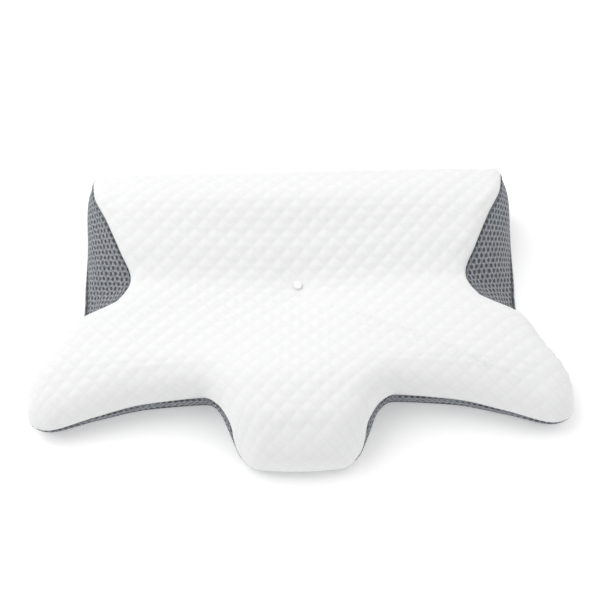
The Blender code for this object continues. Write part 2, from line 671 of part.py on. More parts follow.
def main():
    clear_scene()
    group = bpy.data.collections.new("contour_bed_pillow")
    helpers = bpy.data.collections.new("pillow_helpers")
    bpy.context.scene.collection.children.link(group)
    bpy.context.scene.collection.children.link(helpers)
    knit = material("quilted_knit", (0.90, 0.91, 0.92), 0.85)
    mesh_fabric = material("grey_air_mesh", (0.22, 0.24, 0.27), 0.80)
    jersey = material("liner_jersey", (0.85, 0.85, 0.83), 0.90)
    foam = material("memory_foam", (0.88, 0.84, 0.72), 0.95)
    tape = material("zipper_tape", (0.20, 0.22, 0.25), 0.85)
    nylon = material("zipper_nylon", (0.16, 0.17, 0.19), 0.45)
    metal = material("slider_metal", (0.55, 0.56, 0.58), 0.35, 1.0)
    satin = material("label_satin", (0.88, 0.88, 0.86), 0.50)
    form = Form()
    make_core(form, foam, group)
    make_liner(form, jersey, group)
    make_cover(form, knit, mesh_fabric, group)
    make_zipper_run(tape, nylon, mesh_fabric, group)
    make_slider(metal, group, helpers)
    make_label(satin, group)
    make_tack(form, knit, group)
    bpy.context.view_layer.update()


main()
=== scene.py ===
"""Finished look of a butterfly-shaped contour bed pillow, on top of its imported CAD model.

The cover, the liner and the foam core are modelled again as fine surfaces of one shared form, the zipper gets
its coil, and the seams get their stitches. Units are metres, +Z is up and the neck tongue points to -Y.
"""

import logging
import math
from dataclasses import dataclass, field
from enum import Enum
from typing import Any, Callable, Optional, Sequence

import bpy
import numpy as np
from mathutils import Matrix, Vector
from mathutils.bvhtree import BVHTree
from mathutils.kdtree import KDTree


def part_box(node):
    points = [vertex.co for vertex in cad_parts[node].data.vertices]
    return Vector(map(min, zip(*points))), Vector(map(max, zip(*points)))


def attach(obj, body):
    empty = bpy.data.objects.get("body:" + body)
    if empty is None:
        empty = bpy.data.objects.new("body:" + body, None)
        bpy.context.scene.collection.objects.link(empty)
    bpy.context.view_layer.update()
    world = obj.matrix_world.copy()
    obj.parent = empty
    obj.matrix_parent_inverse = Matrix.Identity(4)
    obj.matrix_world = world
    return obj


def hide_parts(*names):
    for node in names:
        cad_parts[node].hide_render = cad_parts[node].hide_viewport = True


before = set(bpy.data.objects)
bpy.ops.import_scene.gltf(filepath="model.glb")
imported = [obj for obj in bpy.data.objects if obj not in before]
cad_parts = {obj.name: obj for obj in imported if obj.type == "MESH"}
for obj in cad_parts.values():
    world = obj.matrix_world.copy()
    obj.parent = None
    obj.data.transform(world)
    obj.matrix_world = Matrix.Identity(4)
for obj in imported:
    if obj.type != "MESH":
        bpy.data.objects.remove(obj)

log = logging.getLogger("contour_pillow")

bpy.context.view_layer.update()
GAP = 0.0003  # between two layers, as in the CAD model
FAR = 0.04  # distances to a seam are counted up to here
CLOTH_ANGLE = 75.0  # cloth only shows an edge where it bends more than this many degrees
Array = np.ndarray
Socket = bpy.types.NodeSocket


class Body(Enum):
    """The rigid bodies that a piece can ride on."""

    PILLOW = "pillow"
    SLIDER = "slider"
    PULL = "pull"


class Side(Enum):
    """The two ends of the pillow along X."""

    LEFT = "left"
    RIGHT = "right"


class Hold(Enum):
    """How a sheet of cloth is held."""

    STRETCHED = "stretched"
    LAID = "laid"


# ---------------------------------------------------------------------------------------------------------
# Curves and small sums
# ---------------------------------------------------------------------------------------------------------


def between(low: Any, high: Any, share: Any) -> Any:
    """The value this share of the way from low to high."""
    return low + (high - low) * share


def smooth_step(value: Any) -> Any:
    """A share held between 0 and 1 and eased at both ends."""
    value = np.clip(value, 0.0, 1.0)
    return value * value * (3 - 2 * value)


def smooth_curve(knots: Sequence[float], values: Sequence[float], wanted: Array, level_ends: bool = True) -> Array:
    """Reads a smooth curve that runs through its knots and never overshoots them.

    Args:
        knots: increasing places along the curve.
        values: the curve's value at each knot.
        wanted: the places to read.
        level_ends: whether the curve is level at its two ends.

    Returns:
        The curve's values at the wanted places.
    """
    places, levels = np.asarray(knots, float), np.asarray(values, float)
    step = np.diff(places)
    slope = np.diff(levels) / step
    tangent = np.zeros_like(levels)
    rising = slope[:-1] * slope[1:] > 0
    weight_a, weight_b = 2 * step[1:] + step[:-1], step[1:] + 2 * step[:-1]
    safe_a, safe_b = np.where(rising, slope[:-1], 1.0), np.where(rising, slope[1:], 1.0)
    tangent[1:-1] = np.where(rising, (weight_a + weight_b) / (weight_a / safe_a + weight_b / safe_b), 0.0)
    if not level_ends:
        tangent[0], tangent[-1] = slope[0], slope[-1]
    span = np.clip(np.searchsorted(places, wanted, side="right") - 1, 0, len(step) - 1)
    t = np.clip((wanted - places[span]) / step[span], 0.0, 1.0)
    rise = levels[span + 1] - levels[span]
    start, end = tangent[span] * step[span], tangent[span + 1] * step[span]
    return levels[span] + t * start + t * t * (3 * rise - 2 * start - end) + t**3 * (start + end - 2 * rise)


def lengths_along(points: Array) -> Array:
    """Distance from the first point to each point of an open line."""
    return np.concatenate([[0.0], np.cumsum(np.linalg.norm(np.diff(points, axis=0), axis=1))])


def outward(points: Array) -> Array:
    """Finds the unit normals, in plan, of a closed outline that runs clockwise.

    Args:
        points: the outline's points.

    Returns:
        The normal at each point, away from what the outline holds.
    """
    along = np.roll(points, -1, axis=0) - np.roll(points, 1, axis=0)
    normal = np.stack([-along[:, 1], along[:, 0]], axis=1)
    return normal / np.linalg.norm(normal, axis=1, keepdims=True)


# ---------------------------------------------------------------------------------------------------------
# The form that every layer shares
# ---------------------------------------------------------------------------------------------------------


@dataclass(frozen=True)
class Station:
    """One place on the right half of the outline.

    Attributes:
        rim: top corner of the wall, in plan.
        base: bottom corner of the wall, in plan.
        bulge: how far the girth stands out past the middle of those two.
        roll: size of the rounding at the rim.
        seam: height of the top seam, as a share of the rim's height.
    """

    rim: tuple[float, float]
    base: tuple[float, float]
    bulge: float
    roll: float
    seam: float


ZIP_STATION, CORNER_STATION, TONGUE_STATION = 1, 3, 21  # where the zipper, the back and the side panels end


@dataclass(frozen=True)
class PillowForm:
    """Outer form of the pillow: its plan, the heights of its top and the section of its wall.

    Attributes:
        span: from wing tip to wing tip.
        depth: the depth that places along the pillow are shares of.
        back: Y of the back wall's face.
        back_width: width of the back at its base.
        back_rim_width: width of the back at its rim.
        waist_width: width between the waists at the rim.
        waist_base_width: width between the waists at the base.
        notch_spacing: between the inner corners on both sides of the tongue.
        tongue_width: width of the tongue where it leaves the wings.
        tongue_end_width: width of the tongue's blunt end.
        back_roll: how far the back leans in from its base to its rim.
        corner_round: radius of the back corners at the base.
        rim_corner_round: radius of the back corners at the rim.
        back_crest: height of the ridge along the back.
        back_rim: height of the back's rim.
        bowl: height of the bottom of the head bowl.
        neck_crest: height of the ridge under the neck.
        tongue_rim: height of the tongue's end.
        waist_valley: height of the sides beside the bowl.
        wing_crest: height of the wings.
        wing_rim: height of the wings' front rim.
        tip_drop: how far the wing tips fall below the rest.
        dimple_depth: depth of the dimple round the thread tack.
        dimple_radius: radius of that dimple.
        dimple_y: its place along the pillow.
        base_round: radius of the edge round the bottom.
        girth_share: height of the girth, as a share of the rim's height.
        girth_round: radius of the wall's bend at the girth.
        zip_end: X of the outer end of the zipper's end tab.
        zip_zone: height of the opening for the zipper.
        zip_fade: length over which the line above the zipper rises to the middle of the wall.
        rounding_limits: the shares of its two legs that each rounding of the wall may take.
        middle: where the rows of the bottom and of the top close, in plan.
    """

    span: float = 0.620
    depth: float = 0.358
    back: float = 0.180408
    back_width: float = 0.536
    back_rim_width: float = 0.484
    waist_width: float = 0.378
    waist_base_width: float = 0.534
    notch_spacing: float = 0.220
    tongue_width: float = 0.144
    tongue_end_width: float = 0.090
    back_roll: float = 0.008
    corner_round: float = 0.026
    rim_corner_round: float = 0.016
    back_crest: float = 0.113
    back_rim: float = 0.104
    bowl: float = 0.062
    neck_crest: float = 0.100
    tongue_rim: float = 0.064
    waist_valley: float = 0.078
    wing_crest: float = 0.080
    wing_rim: float = 0.058
    tip_drop: float = 0.014
    dimple_depth: float = 0.004
    dimple_radius: float = 0.024
    dimple_y: float = 0.029158
    base_round: float = 0.010
    girth_share: float = 0.5
    girth_round: float = 0.012
    zip_end: float = 0.212
    zip_zone: float = 0.022
    zip_fade: float = 0.030
    rounding_limits: tuple[tuple[float, float], ...] = ((0.95, 0.40), (0.35, 0.35), (0.60, 0.95))
    middle: tuple[float, float] = (0.0, 0.016158)

    def down(self, share: float) -> float:
        """Y of a place this share of the depth in front of the back wall."""
        return self.back - share * self.depth

    def stations(self) -> list[Station]:
        """Lays out the right half of the outline, from the middle of the back to the end of the tongue.

        Returns:
            The stations in order, clockwise seen from above.
        """
        tip, down = self.span / 2, self.down
        back, back_rim = self.back_width / 2, self.back_rim_width / 2
        waist, waist_base = self.waist_width / 2, self.waist_base_width / 2
        notch, tongue, end = self.notch_spacing / 2, self.tongue_width / 2, self.tongue_end_width / 2
        lean = self.back_roll / self.depth

        def corner(turn: float) -> list[tuple[float, float]]:
            """Finds the rim and base points at one place of the back corner.

            Args:
                turn: how far round the corner, from 0 at the back to 1 at the side.

            Returns:
                The rim's point and the base's point, in plan.
            """
            angle = math.radians(90 * turn)
            wide = (back_rim, down(lean), self.rim_corner_round), (back, down(0.0), self.corner_round)
            return [(h - r * (1 - math.sin(angle)), y - r * (1 - math.cos(angle))) for h, y, r in wide]

        def wing(share: float) -> float:
            """X from the waist's base towards the wing tip."""
            return between(waist_base, tip, share)

        def front(share: float) -> float:
            """X from the notch towards the wing tip."""
            return between(notch, tip, share)

        def root(share: float) -> float:
            """X from the tongue's side towards the notch."""
            return between(tongue, notch, share)

        def neck(share: float) -> float:
            """X from the tongue's side towards its end."""
            return between(tongue, end, share)

        return [
            Station((0.0, down(lean)), (0.0, down(0.0)), self.back_roll / 2, 0.014, 0.62),
            Station((self.zip_end, down(lean)), (self.zip_end, down(0.0)), self.back_roll / 2, 0.014, 0.62),
            Station(*corner(0.0), self.back_roll / 2, 0.010, 0.70),
            Station(*corner(0.5), 0.004, 0.008, 0.90),
            Station(*corner(1.0), 0.004, 0.010, 0.92),
            Station((back_rim - 0.004, down(0.135)), (back, down(0.135)), 0.004, 0.012, 0.92),
            Station((between(waist, back_rim, 0.60), down(0.22)), (back, down(0.22)), 0.004, 0.012, 0.92),
            Station((between(waist, back_rim, 0.25), down(0.32)), (back, down(0.32)), 0.004, 0.012, 0.92),
            Station((waist, down(0.40)), (waist_base, down(0.41)), 0.004, 0.012, 0.92),
            Station((waist + 0.014, down(0.475)), (waist_base, down(0.49)), 0.004, 0.012, 0.92),
            Station((wing(-0.30), down(0.548)), (wing(0.00), down(0.57)), 0.005, 0.014, 0.86),
            Station((wing(0.29), down(0.638)), (wing(0.24), down(0.648)), 0.007, 0.018, 0.55),
            Station((wing(0.74), down(0.714)), (wing(0.63), down(0.722)), 0.0075, 0.018, 0.42),
            Station((wing(0.92), down(0.776)), (wing(0.80), down(0.776)), 0.0075, 0.015, 0.40),
            Station((wing(0.86), down(0.842)), (wing(0.74), down(0.829)), 0.0075, 0.015, 0.42),
            Station((front(0.875), down(0.868)), (front(0.862), down(0.849)), 0.0075, 0.015, 0.48),
            Station((front(0.610), down(0.833)), (front(0.615), down(0.815)), 0.0075, 0.018, 0.50),
            Station((front(0.320), down(0.797)), (front(0.325), down(0.781)), 0.0075, 0.018, 0.50),
            Station((front(-0.005), down(0.785)), (front(-0.012), down(0.769)), 0.0075, 0.018, 0.50),
            Station((root(0.40), down(0.818)), (root(0.40), down(0.809)), 0.0070, 0.018, 0.56),
            Station((tongue - 0.002, down(0.893)), (tongue + 0.006, down(0.884)), 0.0050, 0.018, 0.62),
            Station((neck(0.50), down(0.976)), (neck(0.38), down(0.966)), 0.0060, 0.015, 0.20),
            Station((end, down(1.0060)), (end, down(0.9910)), 0.0075, 0.015, 0.20),
            Station((0.0, down(1.0145)), (0.0, down(0.9970)), 0.0075, 0.018, 0.26),
        ]

    def height(self, x: Array, y: Array) -> Array:
        """Height of the top surface over points of the plan.

        Args:
            x: places across the pillow.
            y: places along it.

        Returns:
            The heights over those places.
        """
        down = self.down
        ridge, low, crest = self.neck_crest, self.bowl, self.back_crest
        centre_places = [down(s) for s in (1.0, 0.90, 0.79, 0.62, 0.445, 0.29, 0.14, 0.0)]
        centre_heights = [self.tongue_rim, between(self.tongue_rim, ridge, 0.75), ridge, between(low, ridge, 0.45)]
        centre_heights += [low, between(low, crest, 0.50), crest, self.back_rim]
        side_places = [down(s) for s in (1.0, 0.85, 0.68, 0.43, 0.29, 0.14, 0.0)]
        side_heights = [self.wing_rim - 0.004, self.wing_rim + 0.006, self.wing_crest, self.waist_valley]
        side_heights += [between(self.waist_valley, crest, 0.55), crest, self.back_rim]
        centre = smooth_curve(centre_places, centre_heights, y)
        side = smooth_curve(side_places, side_heights, y)
        top = between(centre, side, smooth_step(np.abs(x) / (0.42 * self.waist_base_width)))
        forward = smooth_step((down(0.40) - y) / (0.3 * self.depth))
        top = top - self.tip_drop * forward * smooth_step((np.abs(x) - 0.3 * self.span) / (0.2 * self.span))
        return top - self.dimple_depth * np.exp(-(x**2 + (y - self.dimple_y) ** 2) / self.dimple_radius**2)


@dataclass(frozen=True)
class FinePlan:
    """How finely the form is sampled.

    Attributes:
        facet: spacing of the columns round the outline.
        rows: steps in the bottom, the base rounding, the low wall, the high wall, the roll and the top.
        evening: how far the tight corners of the top's edge are opened out, in square metres.
        sweeps: smoothing sweeps over the rows between the roll and the top.
        sweep_rows: how many rows of the top those sweeps reach.
        bend_steps: steps in each rounding of the wall's section.
    """

    facet: float = 0.0033
    rows: tuple[int, ...] = (24, 4, 8, 12, 9, 92)
    evening: float = 3.6e-4
    sweeps: int = 8
    sweep_rows: int = 12
    bend_steps: int = 10


class Skin:
    """The form as one closed grid of columns round the outline and rows from the bottom's middle to the top's.

    Attributes:
        points: every grid point, row after row, then the middle of the bottom and the middle of the top.
        normals: the unit normal at each point.
        cloth: each point's place on the unrolled top fabric.
        wrap: each point's distance round the outline and its height up the wall, for the side fabric.
    """

    def __init__(self, form: PillowForm, plan: FinePlan) -> None:
        """Samples the form.

        Args:
            form: the pillow's form.
            plan: how finely to sample it.
        """
        self.form, self.plan = form, plan
        rows, self.numbers = self._outline()
        self.count = len(rows)
        middle = (rows[:, 0:2] + rows[:, 2:4]) / 2
        normals = outward(middle)
        bottom_steps, base, low, high, roll, top = plan.rows
        self.bottom_edge = bottom_steps
        self.bottom_seam = self.bottom_edge + base
        self.zip_top = self.bottom_seam + low
        self.top_seam = self.zip_top + high
        self.edge = self.top_seam + roll
        self.last = self.edge + top - 1
        wall = np.array([self._section(row, normal) for row, normal in zip(rows, normals)]).transpose(1, 0, 2)
        wall = self._eased_edge(wall)
        centre = np.array(form.middle)
        floor_shares = (np.arange(bottom_steps) + 1.0) / (bottom_steps + 1)
        top_shares = 1.0 - (np.arange(top - 1) + 1.0) / top
        floor = centre + (wall[0][:, :2] - centre) * floor_shares[:, None, None]
        floor = np.concatenate([floor, np.zeros((*floor.shape[:2], 1))], axis=2)
        plateau = centre + (wall[-1][:, :2] - centre) * top_shares[:, None, None]
        levels = form.height(plateau[..., 0], plateau[..., 1])
        plateau = np.concatenate([plateau, levels[..., None]], axis=2)
        grid = np.concatenate([floor, wall, plateau])
        first, end = self.top_seam + 2, self.edge + plan.sweep_rows
        for _ in range(plan.sweeps):
            beside = grid[first - 1 : end - 1] + grid[first + 1 : end + 1]
            grid[first:end] = 0.5 * grid[first:end] + 0.25 * beside
        self.row_count = len(grid)
        poles = [[*centre, 0.0], [*centre, float(form.height(np.array(centre[0]), np.array(centre[1])))]]
        self.points = np.concatenate([grid.reshape(-1, 3), poles])
        self.normals = self._smooth_normals()
        self.cloth, self.wrap = self._fabric_places(grid, middle)

    def _outline(self) -> tuple[Array, Array]:
        """Runs smooth curves through the stations, round the whole outline.

        Returns:
            The stations' values at each column, clockwise, and the column number of each station.
        """
        stations = self.form.stations()
        values = np.array([[*s.rim, *s.base, s.bulge, s.roll, s.seam] for s in stations])
        middle = (values[:, 0:2] + values[:, 2:4]) / 2
        legs = np.linalg.norm(np.diff(middle, axis=0), axis=1)
        knots = np.concatenate([[0.0], np.cumsum(legs**0.5)])
        steps = [max(2, round(leg / self.plan.facet)) for leg in legs]
        places = [between(knots[i], knots[i + 1], k / n) for i, n in enumerate(steps) for k in range(n)]
        wanted = np.array([*places, knots[-1]])
        mirror = np.array([-1, 1, -1, 1, 1, 1, 1])
        columns = [smooth_curve(knots, column, wanted, sign > 0) for column, sign in zip(values.T, mirror)]
        right = np.stack(columns, axis=1)
        return np.concatenate([right, right[-2:0:-1] * mirror]), np.cumsum([0, *steps])

    def _section(self, row: Array, normal: Array) -> Array:
        """Draws one section of the wall.

        Args:
            row: the stations' values at this column.
            normal: the outline's normal there, in plan.

        Returns:
            The section's points, from the edge of the flat bottom to the edge of the top surface.
        """
        form = self.form
        rim, base, (bulge, roll, seam) = row[0:2], row[2:4], row[4:7]
        rim_z = float(form.height(rim[0], rim[1]))
        girth = (rim + base) / 2 + normal * bulge
        inner = rim - normal * roll * 1.2
        corners = np.array([
            [*(base - normal * 1.1 * form.base_round), 0.0],
            [*base, 0.0],
            [*girth, form.girth_share * rim_z],
            [*rim, rim_z],
            [*inner, float(form.height(inner[0], inner[1]))],
        ])
        path, marks = self._rounded(corners, (form.base_round, form.girth_round, roll))
        arc = lengths_along(path)
        bottom_seam = arc[marks[0][1]]
        top_seam = float(np.interp(seam * rim_z, path[: marks[2][1], 2], arc[: marks[2][1]]))
        halfway = (bottom_seam + top_seam) / 2
        on_back = base[1] > form.down(0.2)
        past_zip = smooth_step((abs(base[0]) - form.zip_end - 0.0001) / form.zip_fade) if on_back else 1.0
        middle = between(bottom_seam + form.zip_zone, halfway, past_zip)
        stops = [arc[marks[0][0]], bottom_seam, middle, top_seam, arc[-1]]
        wanted = [stops[0]]
        for start, end, steps in zip(stops, stops[1:], self.plan.rows[1:5]):
            wanted += [between(start, end, (k + 1) / steps) for k in range(steps)]
        return np.stack([np.interp(wanted, arc, path[:, i]) for i in range(3)], axis=1)

    def _rounded(self, points: Array, reaches: Sequence[float]) -> tuple[Array, list[tuple[int, int]]]:
        """Rounds the inner corners of a line.

        Args:
            points: the line's corners.
            reaches: how far each rounding reaches along its legs, where they are long enough.

        Returns:
            The rounded line, and the numbers of the points where each rounding starts and ends.
        """
        path, marks = [points[0]], []
        steps = self.plan.bend_steps
        limits = self.form.rounding_limits
        for before, corner, after, reach, shares in zip(points, points[1:], points[2:], reaches, limits):
            legs = before - corner, after - corner
            lengths = [np.linalg.norm(leg) for leg in legs]
            reach = min(reach, shares[0] * lengths[0], shares[1] * lengths[1])
            start, end = (corner + leg / length * reach for leg, length in zip(legs, lengths))
            marks.append((len(path), len(path) + steps))
            for k in range(steps + 1):
                t = k / steps
                path.append((1 - t) ** 2 * start + 2 * t * (1 - t) * corner + t * t * end)
        path.append(points[-1])
        return np.array(path), marks

    def _eased_edge(self, wall: Array) -> Array:
        """Opens out the tight corners of the wall's top row, with the roll below it following.

        Args:
            wall: the wall's rows of points.

        Returns:
            The same rows, moved.
        """
        plan = wall[-1][:, :2]
        spread = np.linalg.norm(plan - np.roll(plan, 1, axis=0), axis=1).min() ** 2
        step = max(0.45 * spread, self.plan.evening / 4000)
        for _ in range(math.ceil(self.plan.evening / step)):
            before, after = np.roll(plan, 1, axis=0), np.roll(plan, -1, axis=0)
            legs = ((plan - before) ** 2 + (plan - after) ** 2).sum(axis=1, keepdims=True) / 2
            plan = plan + ((before + after) / 2 - plan) * np.minimum(0.5, step / np.maximum(legs, 1e-9))
        level = self.form.height(plan[:, 0], plan[:, 1])
        shift = np.concatenate([plan, level[:, None]], axis=1) - wall[-1]
        roll = self.plan.rows[4]
        for k in range(1, roll + 1):
            wall[-1 - roll + k] += shift * (k / roll) ** 1.6
        return wall

    def _smooth_normals(self) -> Array:
        """Finds the normal at each point.

        Returns:
            The normals, with those of the flat bottom straight down.
        """
        mesh = bpy.data.meshes.new("form")
        mesh.from_pydata(self.points.tolist(), [], self.faces(self.zone("foam_core"), True))
        normals = np.array([vertex.normal[:] for vertex in mesh.vertices])
        bpy.data.meshes.remove(mesh)
        normals[: (self.bottom_edge + 1) * self.count] = (0.0, 0.0, -1.0)
        return normals

    def _fabric_places(self, grid: Array, middle: Array) -> tuple[Array, Array]:
        """Unrolls the fabrics, for patterns that follow the surface.

        Args:
            grid: the rows of points.
            middle: the middle of the wall at each column, in plan.

        Returns:
            Each point's place on the top fabric, and its distance round the outline and up the wall.
        """
        edge_plan = grid[self.edge][:, :2]
        lean = outward(edge_plan)
        steps = np.linalg.norm(np.diff(grid, axis=0), axis=2)
        up = np.concatenate([np.zeros((1, self.count)), np.cumsum(steps, axis=0)])
        below = np.maximum(up[self.edge] - up, 0.0)
        cloth = grid[..., :2].copy()
        rows = slice(0, self.edge)
        cloth[rows] = edge_plan + lean * below[rows][..., None]
        wrap = np.stack([np.broadcast_to(lengths_along(middle), up.shape), up - up[self.bottom_seam]], axis=2)
        poles = self.points[-2:, :2]
        return np.concatenate([cloth.reshape(-1, 2), poles]), np.concatenate([wrap.reshape(-1, 2), poles])

    def faces(self, cells: Array, poles: bool = False) -> list[tuple[int, ...]]:
        """Faces of the chosen cells.

        Args:
            cells: for each row and column, whether the cell above and clockwise of that point is wanted.
            poles: whether the fans at the middle of the bottom and of the top are wanted where they touch.

        Returns:
            The faces, turned outwards.
        """
        n = self.count
        row, column = np.nonzero(cells)
        following = (column + 1) % n
        low, high = row * n, (row + 1) * n
        quads = np.stack([low + column, high + column, high + following, low + following], 1)
        found: list[tuple[int, ...]] = [tuple(quad) for quad in quads.tolist()]
        if poles and cells[0].any():
            found += [(self.row_count * n, i, (i + 1) % n) for i in range(n)]
        if poles and cells[-1].any():
            last = (self.row_count - 1) * n
            found += [(last + i, self.row_count * n + 1, last + (i + 1) % n) for i in range(n)]
        return found

    def zone(self, name: str) -> Array:
        """The cells that one cover or liner panel takes.

        Args:
            name: the CAD node that the panel stands for.

        Returns:
            A table of rows and columns that is true where the panel lies.
        """
        row = np.arange(self.row_count - 1)[:, None]
        column = np.arange(self.count)[None, :]
        from_back = np.minimum(column, self.count - 1 - column)
        zip_side, corner, tongue = self.numbers[[ZIP_STATION, CORNER_STATION, TONGUE_STATION]]
        flank = (from_back >= corner) & (from_back < tongue)
        wall = (row >= self.bottom_seam) & (row < self.top_seam)
        everywhere = np.ones((self.row_count - 1, self.count), bool)
        apron = ~flank & wall & ((from_back >= zip_side) | (row >= self.zip_top))
        right = column < self.count / 2
        zones = {
            "bottom_panel": everywhere & (row < self.bottom_seam),
            "top_panel": everywhere & ((row >= self.top_seam) | apron),
            "side_gusset_right": flank & wall & right,
            "side_gusset_left": flank & wall & ~right,
            "liner_lower": everywhere & (row < self.top_seam),
            "liner_upper": everywhere & (row >= self.top_seam),
            "foam_core": everywhere,
        }
        return zones[name]


# ---------------------------------------------------------------------------------------------------------
# Meshes
# ---------------------------------------------------------------------------------------------------------


def link_object(name: str, data: Any) -> bpy.types.Object:
    """Puts an object with this mesh, light or camera in the scene.

    Args:
        name: the object's name.
        data: what it holds.

    Returns:
        The new object, at the origin.
    """
    made = bpy.data.objects.new(name, data)
    bpy.context.scene.collection.objects.link(made)
    return made


def add_piece(name: str, mesh: bpy.types.Mesh, finish: "Finish", sharp: float = 55.0) -> bpy.types.Object:
    """Puts a mesh in the scene as a finished piece at the origin.

    Args:
        name: the piece's name.
        mesh: its mesh, in the row frame.
        finish: the finish it wears.
        sharp: edges that bend more than this many degrees stay sharp.

    Returns:
        The new object.
    """
    mesh.materials.clear()
    mesh.materials.append(finish.material())
    mesh.shade_smooth()
    mesh.set_sharp_from_angle(angle=math.radians(sharp))
    log.info("%s: %d faces", name, len(mesh.polygons))
    return link_object(name, mesh)


def seat(piece: bpy.types.Object, finish: "Finish", node: Optional[str] = None) -> bpy.types.Object:
    """Puts a piece on the pillow's body and hides the CAD node that it stands for, if there is one.

    Args:
        piece: the finished piece.
        finish: the finish it wears; not used.
        node: the CAD node that it stands for, if there is one.

    Returns:
        The piece.
    """
    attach(piece, Body.PILLOW.value)
    if node is not None:
        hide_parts(node)
    return piece


def baked(obj: bpy.types.Object) -> bpy.types.Mesh:
    """Takes the evaluated mesh of an object and removes the object.

    Args:
        obj: the object, with its modifiers live.

    Returns:
        Its mesh with the modifiers applied.
    """
    graph = bpy.context.evaluated_depsgraph_get()
    mesh = bpy.data.meshes.new_from_object(obj.evaluated_get(graph))
    mesh.transform(obj.matrix_world)
    bpy.data.objects.remove(obj)
    return mesh


def pad_mesh(name: str, low: Vector, high: Vector, rounding: float) -> bpy.types.Mesh:
    """Builds a small pad with rounded edges.

    Args:
        name: the mesh's name.
        low: its lowest corner.
        high: its highest corner.
        rounding: radius of its edges.

    Returns:
        The pad's mesh, with a fabric map over X and Z.
    """
    size, middle = high - low, (low + high) / 2
    mesh = bpy.data.meshes.new(name)
    corners = [(x, y, z) for x in (-1, 1) for y in (-1, 1) for z in (-1, 1)]
    points = [middle + Vector((x * size.x, y * size.y, z * size.z)) / 2 for x, y, z in corners]
    faces = [(0, 1, 3, 2), (4, 6, 7, 5), (0, 4, 5, 1), (2, 3, 7, 6), (0, 2, 6, 4), (1, 5, 7, 3)]
    mesh.from_pydata([tuple(point) for point in points], [], faces)
    obj = link_object(name, mesh)
    bevel = obj.modifiers.new("rounding", "BEVEL")
    bevel.width = rounding
    bevel.segments = 4
    result = baked(obj)
    layer = result.uv_layers.get("fabric") or result.uv_layers.new(name="fabric")
    for loop in result.loops:
        place = result.vertices[loop.vertex_index].co
        layer.data[loop.index].uv = (place.x, place.z)
    return result


